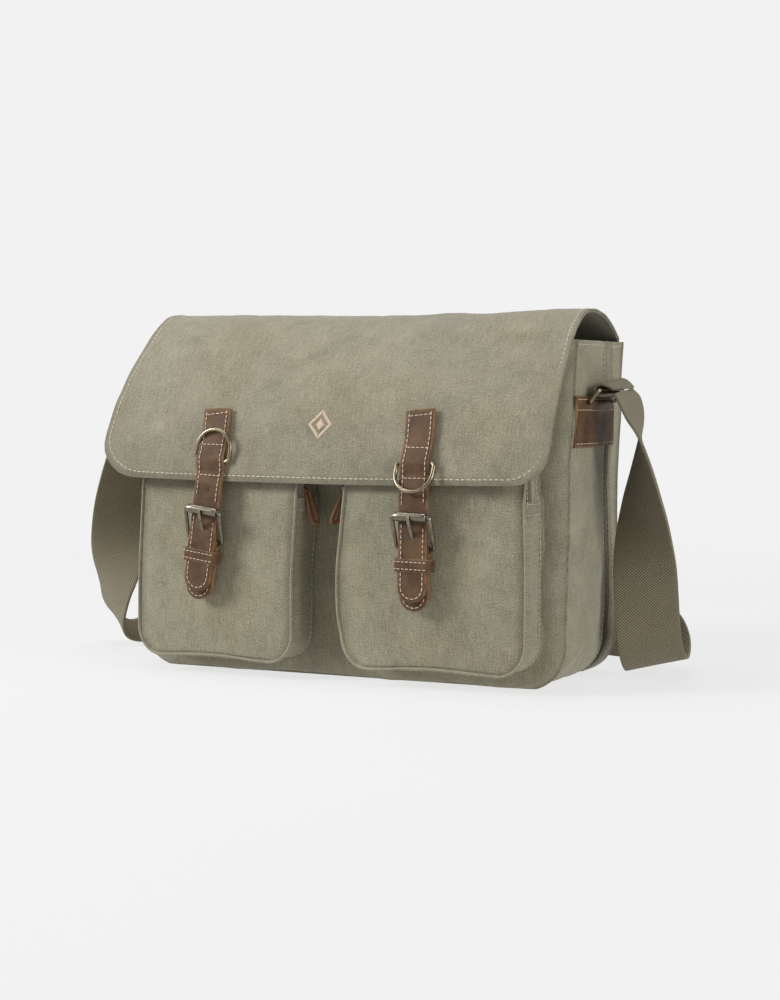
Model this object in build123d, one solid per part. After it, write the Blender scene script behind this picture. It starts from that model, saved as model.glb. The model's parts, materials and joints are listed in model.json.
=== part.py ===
"""Canvas messenger bag with two zipped front pockets, a full flap closed by two buckled leather straps,
and a webbing shoulder strap. Millimetres. +X is the viewer's right, -Y the front, +Z up.
The origin is on the floor, at the centre of the bag's base."""

from build123d import *
from math import atan2, cos, degrees, hypot, pi, radians, sin
import os

# ---- driving dimensions -------------------------------------------------------------------------------
HALF_WIDTH = 190.0          # bag centre to side seam
MOUTH_Z = 270.0             # top edge of the body
FRONT_Y_BASE = -61.0        # front seam at the base
FRONT_Y_MOUTH = -40.0       # front seam at the mouth: the body narrows upwards
BACK_Y = 57.0               # inner face of the back panel
BASE_RADIUS = 35.0          # rounded lower corners of the body
CANVAS = 3.0                # lined canvas wall
FIT_GAP = 0.3               # between sewn layers
LINING = 1.2

POCKET_X = {"left": (-169.0, -24.0), "right": (20.5, 169.0)}
POCKET_INNER_X = {"left": POCKET_X["left"][1], "right": POCKET_X["right"][0]}   # faces of the gap between them
POCKET_BASE_Z = 16.0
POCKET_TOP_Z = 183.0
POCKET_FRONT_Y = -104.0
POCKET_SHOULDER_Z = 150.0   # above this the pocket front leans back under the flap
POCKET_TOP_Y = -94.0
POCKET_WALL = 2.4
POCKET_BASE_RADIUS = 22.0
POCKET_TOP_RADIUS = 8.0
ZIP_Y = (-93.0, -85.0)      # zip tape on the pocket gusset
ZIP_END_Z = 145.0           # lower end of the pocket zip

HINGE_Y, HINGE_Z = 60.5, 273.0      # sewn line that the flap turns about
CREST_CENTRE, CREST_RADIUS = (7.0, 220.0), 75.0
FLAP_FOLD = (-46.0, 272.4)          # where the flap turns from the top to the front
FLAP_MIDDLE = (-93.0, 214.0)
FLAP_EDGE = (-112.2, 158.0)         # outer face at the flap's lower edge
FLAP_HALF_WIDTH = 190.0
FLAP_CORNER = 28.0
FLAP_CANVAS = 1.6
FLAP_LINING = 0.9
FLAP_GAP_ANGLE = 1.7        # degrees of crest left free each side of the fold

STRAP_X = {"left": -93.0, "right": 87.0}    # where each strap crosses the flap edge
STRAP_LEAN = {"left": -8.0, "right": -1.0}  # degrees each hanging strap leans from upright
STRAP_WIDTH = 24.0
STRAP_THICK = 3.4
STRAP_LIFT = 0.3            # height of the sewn straps above the flap
STRAP_TOP_Z = 214.0
STRAP_EDGE_Z = 160.0        # the strap bends here, at the flap edge
CLOSURE_HINGE_S = -13.0     # the closure swings about this line, below the flap edge
STRAP_Y = -115.0            # middle of the hanging strap
RING_BAR_Z = 175.0          # height of the front D-rings' bars
WIRE = 1.6                  # radius of ring and buckle wire
PIVOT_GAP = 0.1             # radial clearance of a running fit

WEBBING_WIDTH = 52.0
WEBBING_THICK = 2.6
SIDE_BAR = (196.4, 0.0, 221.0)      # middle of the right side ring's bar
SIDE_RING_TILT = 50.0               # degrees the side rings stand out from level
SIDE_RING_RISE = 13.0
SIDE_RING_SPAN = 58.0
SIDE_RING_CORNER = 3.0

ADJUSTER_AT = (0.0, 146.0, 32.0)    # three-bar slide, on the strap behind the bag
ADJUSTER_LENGTH = 30.0
ADJUSTER_DEPTH = 6.4
ADJUSTER_HEIGHT = 60.0
ADJUSTER_WINDOW = 9.0
ADJUSTER_SPACING = 8.0              # each window's middle, from the slide's middle

OUT = "parts"
SIDES = {"left": -1, "right": 1}


# ---- shape helpers ------------------------------------------------------------------------------------
def front_y(z):
    """Front seam of the body at height z."""
    return FRONT_Y_BASE + (FRONT_Y_MOUTH - FRONT_Y_BASE) * z / MOUTH_Z


def side_profile(points, x_min, x_max):
    """Closed (y, z) polygon carried along X."""
    face = make_face(Polyline(*points, close=True))
    return extrude(Plane.YZ.offset(x_min) * face, amount=x_max - x_min)


def front_outline(x_min, x_max, z_min, z_max, low_radius, high_radius, y_min, y_max):
    """Upright rectangle with rounded corners, seen from the front, carried along Y."""
    face = Pos((x_min + x_max) / 2, (z_min + z_max) / 2) * Rectangle(x_max - x_min, z_max - z_min)
    if low_radius:
        face = fillet(face.vertices().sort_by(Axis.Y)[:2], low_radius)
    if high_radius:
        face = fillet(face.vertices().sort_by(Axis.Y)[-2:], high_radius)
    plane = Plane((0, y_max, 0), x_dir=(1, 0, 0), z_dir=(0, -1, 0))
    return extrude(plane * face, amount=y_max - y_min)


def arc_band(centre, inner, outer, start, end, x_min, x_max):
    """Part of a ring in the (y, z) plane, between two angles in degrees, carried along X."""
    def at(radius, angle):
        return centre[0] + radius * cos(radians(angle)), centre[1] + radius * sin(radians(angle))

    middle = (start + end) / 2
    edges = [
        ThreePointArc(at(outer, start), at(outer, middle), at(outer, end)),
        Line(at(outer, end), at(inner, end)),
        ThreePointArc(at(inner, end), at(inner, middle), at(inner, start)),
        Line(at(inner, start), at(outer, start)),
    ]
    return extrude(Plane.YZ.offset(x_min) * make_face(edges), amount=x_max - x_min)


def circle_through(a, b, c):
    """Centre and radius of the circle through three (y, z) points."""
    d = 2 * (a[0] * (b[1] - c[1]) + b[0] * (c[1] - a[1]) + c[0] * (a[1] - b[1]))
    sq = [p[0] ** 2 + p[1] ** 2 for p in (a, b, c)]
    y = (sq[0] * (b[1] - c[1]) + sq[1] * (c[1] - a[1]) + sq[2] * (a[1] - b[1])) / d
    z = (sq[0] * (c[0] - b[0]) + sq[1] * (a[0] - c[0]) + sq[2] * (b[0] - a[0])) / d
    return (y, z), hypot(a[0] - y, a[1] - z)


def angle_at(centre, point):
    return degrees(atan2(point[1] - centre[1], point[0] - centre[0])) % 360


def wire_frame(width, height, radius):
    """Round wire bent into a rectangle with rounded corners, its lower bar on the X axis."""
    path = (Pos(0, height / 2) * RectangleRounded(width, height, radius)).wire()
    section = Plane(path @ 0.0, z_dir=path % 0.0) * Circle(WIRE)
    return sweep(section, path=path)


def slab(width, length, thick, tip_radius=0.0):
    """Flat leather strap hanging from y = 0 down to y = -length, its tip rounded."""
    face = Pos(0, -length / 2) * Rectangle(width, length)
    if tip_radius:
        face = fillet(face.vertices().sort_by(Axis.Y)[:2], tip_radius)
    return Pos(0, 0, -thick / 2) * extrude(face, amount=thick)


def rod(radius, length):
    """Cylinder along X, centred."""
    return Rot(0, 90, 0) * Cylinder(radius, length)


def ribbon(stations):
    """Strip of webbing through (centre, width direction, normal) stations, as flat triangles."""
    rings = []
    for centre, across, normal in stations:
        a, n = across * (WEBBING_WIDTH / 2), normal * (WEBBING_THICK / 2)
        rings.append([centre + a + n, centre - a + n, centre - a - n, centre + a - n])
    faces = [Face(Wire.make_polygon(rings[0], close=True)), Face(Wire.make_polygon(rings[-1], close=True))]
    for near, far in zip(rings, rings[1:]):
        for i in range(4):
            j = (i + 1) % 4
            faces.append(Face(Wire.make_polygon([near[i], near[j], far[j]], close=True)))
            faces.append(Face(Wire.make_polygon([near[i], far[j], far[i]], close=True)))
    return Solid(Shell(faces))


def save(name, shape):
    shape = Compound(children=list(shape.solids())) if len(shape.solids()) > 1 else shape.solid()
    export_step(shape, f"{OUT}/{name}.step")


# ---- body of the bag ----------------------------------------------------------------------------------
def body_band(y_min, y_max, wall=CANVAS):
    """U-shaped band round the sides and base, cut to the sloping front seam."""
    outer = front_outline(-HALF_WIDTH, HALF_WIDTH, 0, MOUTH_Z, BASE_RADIUS, 0, y_min, y_max)
    inner = front_outline(-HALF_WIDTH + wall, HALF_WIDTH - wall, wall, MOUTH_Z + 20,
                          BASE_RADIUS - wall, 0, y_min - 1, y_max + 1)
    behind_front = side_profile([(front_y(-10), -10), (y_max + 5, -10), (y_max + 5, MOUTH_Z + 10),
                                 (front_y(MOUTH_Z + 10), MOUTH_Z + 10)], -300, 300)
    return (outer - inner) & behind_front


def make_body():
    zip_y = (27.0, 35.0)
    save("front_gusset", body_band(FRONT_Y_BASE - 2, zip_y[0]))
    save("expansion_zip_tape", body_band(*zip_y, wall=CANVAS - 0.8))
    save("rear_gusset", body_band(zip_y[1], BACK_Y))
    whole = front_outline(-HALF_WIDTH, HALF_WIDTH, 0, MOUTH_Z, BASE_RADIUS, 0, -150, 150)
    slope = [(front_y(0), 0), (front_y(0) - CANVAS, 0),
             (front_y(MOUTH_Z) - CANVAS, MOUTH_Z), (front_y(MOUTH_Z), MOUTH_Z)]
    save("front_panel", whole & side_profile(slope, -300, 300))
    save("back_panel", front_outline(-HALF_WIDTH, HALF_WIDTH, 0, MOUTH_Z, BASE_RADIUS, 0, BACK_Y, BACK_Y + CANVAS))
    save("lining", make_lining())
    board = front_outline(-150, 150, CANVAS + FIT_GAP, CANVAS + 2.5, 0, 0, FRONT_Y_BASE + 4, BACK_Y - 3)
    save("base_board", board)


def make_lining():
    """Open bag of thin cotton inside the canvas."""
    def bag(gap, top):
        low = CANVAS + 2.8 + gap
        shell = front_outline(-HALF_WIDTH + CANVAS + FIT_GAP + gap, HALF_WIDTH - CANVAS - FIT_GAP - gap,
                              low, top, BASE_RADIUS - low, 0, -150, 150)
        front, back = FIT_GAP + gap, BACK_Y - FIT_GAP - gap
        profile = [(front_y(0) + front, 0), (back, 0), (back, top), (front_y(top) + front, top)]
        return shell & side_profile(profile, -300, 300)

    return bag(0.0, MOUTH_Z - 1) - bag(LINING, MOUTH_Z + 20)


# ---- front pockets ------------------------------------------------------------------------------------
def pocket_profile(inset):
    """Side view of a pocket: front, leaning shoulder, top, and back along the front panel."""
    low, high = POCKET_BASE_Z - 5, POCKET_TOP_Z + 5
    behind = -CANVAS - 0.05
    lean = (POCKET_TOP_Y - POCKET_FRONT_Y) / (POCKET_TOP_Z - POCKET_SHOULDER_Z)
    return [(POCKET_FRONT_Y + inset, low), (POCKET_FRONT_Y + inset, POCKET_SHOULDER_Z),
            (POCKET_FRONT_Y + inset + lean * (high - POCKET_SHOULDER_Z), high),
            (front_y(high) + behind, high), (front_y(low) + behind, low)]


def pocket_block(side, inset, wall):
    """Solid pocket, moved in by inset at the front and by wall round its outline."""
    x_min, x_max = POCKET_X[side]
    outline = front_outline(x_min + wall, x_max - wall, POCKET_BASE_Z + wall, POCKET_TOP_Z - wall,
                            POCKET_BASE_RADIUS - wall, POCKET_TOP_RADIUS - wall, -150, 0)
    return outline & side_profile(pocket_profile(inset), -300, 300)


def make_pocket(side):
    whole = pocket_block(side, 0.0, 0.0)
    behind_front = pocket_block(side, POCKET_WALL, 0.0)
    save(f"{side}_pocket_front", whole - behind_front)
    ring = behind_front - pocket_block(side, -5.0, POCKET_WALL)
    arch = Pos(0, sum(ZIP_Y) / 2, ZIP_END_Z + 50) * Box(600, ZIP_Y[1] - ZIP_Y[0], 100)
    save(f"{side}_pocket_gusset", ring - arch)
    save(f"{side}_pocket_zip_tape", (ring & arch) - pocket_block(side, -5.0, POCKET_WALL - 0.8))
    tabs = []
    for x, outward in zip(POCKET_X[side], (-1, 1)):
        tabs.append(Pos(x + outward * 0.5, -83, ZIP_END_Z - 5) * Box(1.0, 36, 8))
    save(f"{side}_pocket_zip_tabs", Compound(children=tabs))


def slider_and_pull(name, plane, pull_length):
    """Zip slider with a pin between two lugs, and the leather pull that swings on the pin.

    The plane lies on the zip: x across the tape, y along it, z out of it.
    """
    at_pin = Pos(0, -3.5, 4.6)
    lugs = Pos(3.5, 0, -0.8) * Box(1, 3.4, 4.4) + Pos(-3.5, 0, -0.8) * Box(1, 3.4, 4.4)
    slider = Pos(0, 0, 1.4) * Box(8, 11, 2.2) + at_pin * (lugs + rod(0.9, 8))
    save(f"{name}_slider", plane.location * slider)
    tab = Pos(0, -pull_length / 2, 0) * Box(4.6, pull_length, 2.4)
    window = Pos(0, -pull_length * 0.55, 0) * Box(2.0, pull_length * 0.6, 10)
    pull = tab + rod(1.7, 4.6) - window - rod(1.0, 10)
    save(f"{name}_pull", plane.location * at_pin * pull)


def make_zip_slider(side):
    """Slider and leather loop on the inner gusset of a pocket."""
    sign = SIDES[side]
    plane = Plane((POCKET_INNER_X[side], sum(ZIP_Y) / 2, ZIP_END_Z + 12), x_dir=(0, -sign, 0), z_dir=(-sign, 0, 0))
    slider_and_pull(f"{side}_zip", plane, 30.0)


def make_expansion_slider():
    """Slider at the closed end of the expansion zip, under the left side patch."""
    plane = Plane((-HALF_WIDTH, 31, 178), x_dir=(0, -1, 0), z_dir=(-1, 0, 0))
    slider_and_pull("expansion", plane, 26.0)


# ---- flap ---------------------------------------------------------------------------------------------
def flap_arcs():
    """The flap's two arcs: (centre, outer radius, start angle, end angle), with the fold left free."""
    fold = angle_at(CREST_CENTRE, FLAP_FOLD)
    crest = (CREST_CENTRE, CREST_RADIUS, angle_at(CREST_CENTRE, (HINGE_Y - 1.4, HINGE_Z + 1.6)),
             fold - FLAP_GAP_ANGLE)
    centre, radius = circle_through(FLAP_FOLD, FLAP_MIDDLE, FLAP_EDGE)
    start = angle_at(centre, FLAP_FOLD) + FLAP_GAP_ANGLE * CREST_RADIUS / radius
    return crest, (centre, radius, start, angle_at(centre, FLAP_EDGE))


def make_flap():
    rounded = front_outline(-FLAP_HALF_WIDTH, FLAP_HALF_WIDTH, FLAP_EDGE[1] - 2, 400, FLAP_CORNER, 0, -200, 200)
    for name, (centre, radius, start, end) in zip(("flap_top", "flap_front"), flap_arcs()):
        layers = {"canvas": (radius - FLAP_CANVAS, radius),
                  "lining": (radius - FLAP_CANVAS - FLAP_LINING, radius - FLAP_CANVAS)}
        for layer, (inner, outer) in layers.items():
            band = arc_band(centre, inner, outer, start, end, -FLAP_HALF_WIDTH, FLAP_HALF_WIDTH)
            save(f"{name}_{layer}", band & rounded)


# ---- leather straps, front rings and buckles ------------------------------------------------------------
def flap_point(z):
    """(y, z) on the outer face of the flap's front."""
    centre, radius = circle_through(FLAP_FOLD, FLAP_MIDDLE, FLAP_EDGE)
    return centre[0] - (radius ** 2 - (z - centre[1]) ** 2) ** 0.5, z


def ring_plane(side):
    """Plane on the flap's outer face at a front ring: x along its bar, y up the slope, z outward."""
    centre, _ = circle_through(FLAP_FOLD, FLAP_MIDDLE, FLAP_EDGE)
    y, z = flap_point(RING_BAR_Z)
    out = Vector(0, y - centre[0], z - centre[1]).normalized()
    lean = radians(STRAP_LEAN[side])
    up = out.cross(Vector(1, 0, 0))
    return Plane((STRAP_X[side], y, z), x_dir=Vector(1, 0, 0) * cos(lean) + up * sin(lean), z_dir=out)


def hanging_plane(side):
    """Plane of the hanging strap, at the line that it swings about."""
    lean = radians(STRAP_LEAN[side])
    return Plane((STRAP_X[side], STRAP_Y, STRAP_EDGE_Z), x_dir=(cos(lean), 0, sin(lean)), z_dir=(0, -1, 0))


RING_BAR_OUT = 3.2          # bar of a front ring above the flap
RING_SPAN, RING_RISE = 31.0, 24.0
RING_REST = {"left": 9.0, "right": 170.0}   # degrees from up the slope, positive outward


def make_strap_top(side):
    """Leather sewn on the flap, with the tunnel that holds the front ring."""
    centre, radius = circle_through(FLAP_FOLD, FLAP_MIDDLE, FLAP_EDGE)
    inner = radius + STRAP_LIFT
    top = angle_at(centre, flap_point(STRAP_TOP_Z))
    low = angle_at(centre, flap_point(STRAP_EDGE_Z + 1.5))
    half = STRAP_WIDTH / 2
    band = arc_band(centre, inner, inner + STRAP_THICK, top, low, STRAP_X[side] - half, STRAP_X[side] + half)
    tunnel = Pos(0, 0, RING_BAR_OUT) * rod(4.4, STRAP_WIDTH)
    tunnel &= Pos(0, 0, 50 + STRAP_LIFT) * Box(100, 100, 100)
    bar = Pos(0, 0, RING_BAR_OUT) * rod(WIRE + PIVOT_GAP, 60)
    place = ring_plane(side).location
    sewn = band + place * tunnel - place * bar
    stub = Pos(0, 6.0, 0) * slab(STRAP_WIDTH, 6.0 - CLOSURE_HINGE_S - 0.2, STRAP_THICK)
    save(f"{side}_strap_top", sewn + hanging_plane(side).location * stub)


def make_front_ring(side):
    """D-shaped wire ring, its straight bar in the strap's tunnel."""
    half = RING_SPAN / 2
    corner, shoulder = 3.0, RING_RISE - half
    edges = [Line((-half + corner, 0), (half - corner, 0)),
             RadiusArc((half - corner, 0), (half, corner), -corner),
             Line((half, corner), (half, shoulder)),
             ThreePointArc((half, shoulder), (0, RING_RISE), (-half, shoulder)),
             Line((-half, shoulder), (-half, corner)),
             RadiusArc((-half, corner), (-half + corner, 0), -corner)]
    path = Wire(edges)
    ring = sweep(Plane((0, 0, 0), z_dir=(1, 0, 0)) * Circle(WIRE), path=path)
    placed = Pos(0, 0, RING_BAR_OUT) * Rot(RING_REST[side], 0, 0) * ring
    save(f"{side}_front_ring", ring_plane(side).location * placed)


ROLLER_S, ROLLER_N, ROLLER_RADIUS = -25.0, 5.6, 3.5    # along the strap, outward, radius
HEEL_S, HEEL_N = -50.0, -4.8                           # the buckle bar behind the strap
TAIL_LENGTH, TAB_END = 91.0, 98.0
TAB_THICK = 5.0
BUCKLE_WIDTH = 31.6
SNAP_S = -84.0


def make_closure(side):
    """Everything that hangs below the flap edge on one side."""
    place = hanging_plane(side).location
    save(f"{side}_closure_strap", place * closure_strap())
    save(f"{side}_under_tab", place * under_tab())
    save(f"{side}_buckle_frame", place * buckle_frame())
    roller = rod(ROLLER_RADIUS, 27) - rod(WIRE + PIVOT_GAP, 40)
    save(f"{side}_buckle_roller", place * Pos(0, ROLLER_S, ROLLER_N) * roller)
    save(f"{side}_buckle_prong", place * prong())
    keeper = Box(29.2, 11, 13.0) - Box(26.0, 20, 9.8)
    save(f"{side}_keeper", place * Pos(0, -62.5, -2.6) * keeper)
    back = HEEL_N - TAB_THICK / 2
    save(f"{side}_snap_stud", place * Pos(0, SNAP_S, back - 0.6) * Cylinder(7.0, 1.2))
    socket_z = STRAP_Y - POCKET_FRONT_Y + 1.0
    save(f"{side}_snap_socket", place * Pos(0, SNAP_S, socket_z) * Cylinder(7.5, 2.0))


def closure_strap():
    """Leather tail with its punched holes; the lowest is a slot for the prong."""
    top = CLOSURE_HINGE_S - 0.2
    tail = Pos(0, top, 0) * slab(STRAP_WIDTH, TAIL_LENGTH + top, STRAP_THICK, STRAP_WIDTH / 2 - 0.5)
    tail -= Pos(0, -20.0, 0) * Cylinder(1.2, 10)
    return tail - Pos(0, -43.0, 0) * Box(4.2, 12.4, 10)


def under_tab():
    """Leather folded round the buckle's heel bar, slotted for the prong."""
    length = TAB_END + HEEL_S
    tab = Pos(0, HEEL_S, HEEL_N) * slab(STRAP_WIDTH, length, TAB_THICK, STRAP_WIDTH / 2 - 0.5)
    tab += Pos(0, HEEL_S, HEEL_N) * rod(TAB_THICK / 2, STRAP_WIDTH)
    tab -= Pos(0, HEEL_S, HEEL_N) * rod(WIRE + PIVOT_GAP, 60)
    return tab - Pos(0, HEEL_S, HEEL_N) * Box(4.6, 13, 20)


def buckle_frame():
    """Rectangle of wire, its roller bar in front of the strap and its heel bar behind."""
    rise = hypot(ROLLER_S - HEEL_S, ROLLER_N - HEEL_N)
    tilt = degrees(atan2(ROLLER_N - HEEL_N, ROLLER_S - HEEL_S))
    loop = wire_frame(BUCKLE_WIDTH, rise, 2.2)
    return Pos(0, HEEL_S, HEEL_N) * Rot(tilt, 0, 0) * loop


def prong():
    """Tongue that turns on the heel bar, passes through the strap and rests on the roller."""
    eye = rod(2.7, 3.0)
    reach = hypot(ROLLER_S - HEEL_S, ROLLER_N - HEEL_N)
    rest = degrees(atan2(ROLLER_N - HEEL_N, ROLLER_S - HEEL_S))
    lift = degrees(atan2(ROLLER_RADIUS + 1.5, reach))
    shank = Pos(0, (reach + 3.5) / 2, 0) * Box(2.6, reach + 3.5, 2.0)
    return Pos(0, HEEL_S, HEEL_N) * Rot(rest + lift, 0, 0) * (eye + shank - rod(WIRE + PIVOT_GAP, 10))


# ---- side patches, side rings and shoulder strap --------------------------------------------------------
def make_side(side):
    sign = SIDES[side]
    patch = Pos(sign * (HALF_WIDTH + 1.6), -2, 206.5) * Box(3.0, 88, 39)
    place = Pos(sign * SIDE_BAR[0], 0, SIDE_BAR[2]) * Rot(90, 0, 0)
    tunnel = place * Cylinder(4.0, SIDE_RING_SPAN - 2 * SIDE_RING_CORNER - 3)
    tunnel &= Pos(sign * (HALF_WIDTH + 50.1), 0, SIDE_BAR[2]) * Box(100, 100, 100)
    save(f"{side}_side_patch", patch + tunnel - place * Cylinder(WIRE + PIVOT_GAP, 90))
    loop = wire_frame(SIDE_RING_SPAN, SIDE_RING_RISE, SIDE_RING_CORNER)
    plane = Plane((sign * SIDE_BAR[0], 0, SIDE_BAR[2]), x_dir=(0, sign, 0), z_dir=ring_normal(sign))
    save(f"{side}_side_ring", plane.location * loop)


def ring_normal(sign):
    """Normal of a side ring's plane, so that local y runs up and outward."""
    tilt = radians(SIDE_RING_TILT)
    outward = Vector(sign * cos(tilt), 0, sin(tilt))
    return Vector(0, sign, 0).cross(outward)


STRAP_START_X = 214.0       # the strap leaves its sewn ends here
STRAP_AXIS_Z = 230.0        # height of the line that the whole strap swings about
# middle of the webbing, and the direction across it, from the right ring round the back to the left ring
STRAP_STATIONS = [
    ((STRAP_START_X, 0, STRAP_AXIS_Z), (0, -1, 0)),
    ((219.5, 1, 222), (0, -1, -0.08)),
    ((223.5, 3, 210), (0.06, -1, 0)),
    ((227, 5, 193), (0.31, -0.95, 0)),
    ((228, 8, 165), (0.62, -0.78, 0)),
    ((227.5, 11, 138), (0.82, -0.5, 0)),
    ((227.5, 13, 112), (0.95, -0.2, 0)),
    ((228, 16, 85), (0.97, 0.15, 0)),
    ((228.5, 19, 62), (0.93, 0.33, 0.02)),
    ((229, 22, 42), (0.91, 0.4, 0.05)),
    ((229, 29, 24), (0.9, 0.36, 0.1)),
    ((229, 41, 12), (0.9, 0.34, 0.16)),
    ((228, 57, 11.5), (0.87, 0.32, 0.3)),
    ((225, 76, 18.5), (0.72, 0.3, 0.6)),
    ((218, 94, 25.5), (0.42, 0.2, 0.88)),
    ((204, 110, 28), (0.1, 0.05, 1)),
    ((180, 124, 28), (0, 0, 1)),
    ((150, 133, 28.5), (0, 0, 1)),
    ((120, 139, 29), (0, 0, 1)),
    ((60, 146, 32), (0, 0, 1)),
    ((-60, 146, 32), (0, 0, 1)),
    ((-120, 139, 29), (0, 0, 1)),
    ((-170, 131, 28), (0, 0, 1)),
    ((-215, 114, 27.5), (0, 0, 1)),
    ((-246, 88, 27.5), (-0.05, 0, 1)),
    ((-260, 61, 28), (-0.25, -0.1, 0.95)),
    ((-265, 38, 36), (-0.6, -0.3, 0.7)),
    ((-266, 24, 53), (-0.8, -0.4, 0.35)),
    ((-265, 17, 75), (-0.87, -0.46, 0.1)),
    ((-263, 13, 100), (-0.86, -0.5, 0)),
    ((-256, 8, 130), (-0.8, -0.6, 0)),
    ((-243, 3, 165), (-0.65, -0.76, 0)),
    ((-232, 1, 196), (-0.35, -0.93, 0)),
    ((-222, 1, 219), (-0.05, -1, 0)),
    ((-STRAP_START_X, 0, STRAP_AXIS_Z), (0, -1, 0)),
]


def make_shoulder_strap():
    stations = []
    last = len(STRAP_STATIONS) - 1
    for i, (centre, across) in enumerate(STRAP_STATIONS):
        before, after = STRAP_STATIONS[max(i - 1, 0)][0], STRAP_STATIONS[min(i + 1, last)][0]
        along = (Vector(*after) - Vector(*before)).normalized()
        if i in (0, last):
            along = Vector(1, 0, 0)     # cut square, so that it clears its sewn ends as it swings
        wide = Vector(*across)
        wide = (wide - along * wide.dot(along)).normalized()
        stations.append((Vector(*centre), wide, wide.cross(along)))
    save("shoulder_strap", ribbon(stations))
    opening = WEBBING_WIDTH + 1.5
    window = Box(ADJUSTER_WINDOW, 2 * ADJUSTER_DEPTH, opening)
    frame = Box(ADJUSTER_LENGTH, ADJUSTER_DEPTH, ADJUSTER_HEIGHT)
    frame -= Pos(ADJUSTER_SPACING, 0, 0) * window + Pos(-ADJUSTER_SPACING, 0, 0) * window
    slot = Box(2 * ADJUSTER_LENGTH, WEBBING_THICK + 0.8, opening)
    save("strap_adjuster", Pos(*ADJUSTER_AT) * (frame - slot))


def make_strap_end(side):
    """Folded webbing sewn round the far bar of the side ring."""
    sign = SIDES[side]
    tilt = radians(SIDE_RING_TILT)
    bar = (SIDE_BAR[0] + SIDE_RING_RISE * cos(tilt), SIDE_BAR[2] + SIDE_RING_RISE * sin(tilt))
    fall = degrees(atan2(STRAP_AXIS_Z - bar[1], STRAP_START_X - bar[0]))
    length = hypot(STRAP_START_X - bar[0], STRAP_AXIS_Z - bar[1]) + 8
    wide = SIDE_RING_SPAN - 2 * SIDE_RING_CORNER - 0.6
    loop = Rot(90, 0, 0) * Cylinder(WIRE + WEBBING_THICK + 0.1, wide)
    tongue = Pos(length / 2, 0, 0) * Box(length, wide, 2 * WEBBING_THICK)
    hole = Rot(90, 0, 0) * Cylinder(WIRE + 0.1, 90)
    end = Pos(bar[0], 0, bar[1]) * Rot(0, -fall, 0) * (loop + tongue - hole)
    end &= Box(2 * STRAP_START_X - 0.8, 200, 1000)
    save(f"{side}_strap_end", end if sign > 0 else mirror(end, about=Plane.YZ))


def main():
    os.makedirs(OUT, exist_ok=True)
    make_shoulder_strap()
    make_body()
    make_expansion_slider()
    make_flap()
    for side in SIDES:
        make_pocket(side)
        make_zip_slider(side)
        make_strap_top(side)
        make_front_ring(side)
        make_closure(side)
        make_side(side)
        make_strap_end(side)


main()
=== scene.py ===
"""Looks of the canvas messenger bag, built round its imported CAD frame.

Lengths here are in millimetres and become metres when a mesh is made. +X is the viewer's right, -Y the front,
+Z up; the origin is on the floor under the bag.
"""

import json
import math

import bpy
import numpy as np
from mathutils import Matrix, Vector, noise


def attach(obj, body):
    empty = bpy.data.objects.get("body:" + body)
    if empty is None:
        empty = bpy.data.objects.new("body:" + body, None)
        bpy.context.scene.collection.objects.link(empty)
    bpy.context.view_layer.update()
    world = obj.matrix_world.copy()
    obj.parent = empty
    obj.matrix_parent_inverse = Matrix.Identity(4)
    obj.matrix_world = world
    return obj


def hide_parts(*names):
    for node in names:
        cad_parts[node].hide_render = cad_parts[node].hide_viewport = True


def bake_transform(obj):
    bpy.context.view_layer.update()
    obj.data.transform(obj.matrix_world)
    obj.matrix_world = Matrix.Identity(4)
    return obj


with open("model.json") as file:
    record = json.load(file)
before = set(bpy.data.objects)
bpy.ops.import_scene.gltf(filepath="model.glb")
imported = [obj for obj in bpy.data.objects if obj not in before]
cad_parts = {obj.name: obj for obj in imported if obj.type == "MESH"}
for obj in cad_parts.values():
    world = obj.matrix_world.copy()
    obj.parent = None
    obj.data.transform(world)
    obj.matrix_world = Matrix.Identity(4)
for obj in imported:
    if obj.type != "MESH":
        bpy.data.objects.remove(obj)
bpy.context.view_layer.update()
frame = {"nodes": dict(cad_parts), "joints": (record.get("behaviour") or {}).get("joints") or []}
JOINTS = {j["name"]: j for j in frame["joints"]}
MM = 0.001
SIDES = {"left": -1, "right": 1}


# ---- lines and grids ----------------
def vec(*values):
    return np.array(values, float)


def unit(a):
    return a / np.maximum(np.linalg.norm(a, axis=-1, keepdims=True), 1e-9)


def square_to(a, along):
    """What is left of each vector at right angles to the line it belongs to, at unit length."""
    return unit(a - along * np.einsum("ij,ij->i", a, along)[:, None])


def length_of(line):
    return np.linalg.norm(np.diff(line, axis=0), axis=1).sum()


def whole_turn(count):
    return np.linspace(0, 2 * np.pi, count, endpoint=False)


def closer_at_ends(count, share):
    """Values from -1 to 1 that lie closer together at both ends."""
    return np.sin(np.linspace(-1, 1, count) * np.pi / 2 * share) / math.sin(np.pi / 2 * share)


def resample(points, count=None, step=None, closed=False):
    """Points evenly spaced along a polyline."""
    p = np.asarray(points, float)
    if closed:
        p = np.vstack([p, p[:1]])
    run = np.concatenate([[0], np.cumsum(np.linalg.norm(np.diff(p, axis=0), axis=1))])
    if count is None:
        count = max(2, int(round(run[-1] / step)) + 1)
    at = np.linspace(0, run[-1], count + 1 if closed else count)
    out = np.stack([np.interp(at, run, p[:, k]) for k in range(p.shape[1])], axis=1)
    return out[:-1] if closed else out


def spline(points, count):
    """Smooth line through the points, evenly resampled."""
    p = np.asarray(points, float)
    q = np.vstack([2 * p[0] - p[1], p, 2 * p[-1] - p[-2]])
    t = np.linspace(0, 1, 24, endpoint=False)[:, None]
    parts = []
    for a, b, c, d in zip(q, q[1:], q[2:], q[3:]):
        cubic = 3 * b - a - 3 * c + d
        parts.append(0.5 * (2 * b + (c - a) * t + (2 * a - 5 * b + 4 * c - d) * t**2 + cubic * t**3))
    return resample(np.vstack([*parts, p[-1:]]), count)


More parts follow.
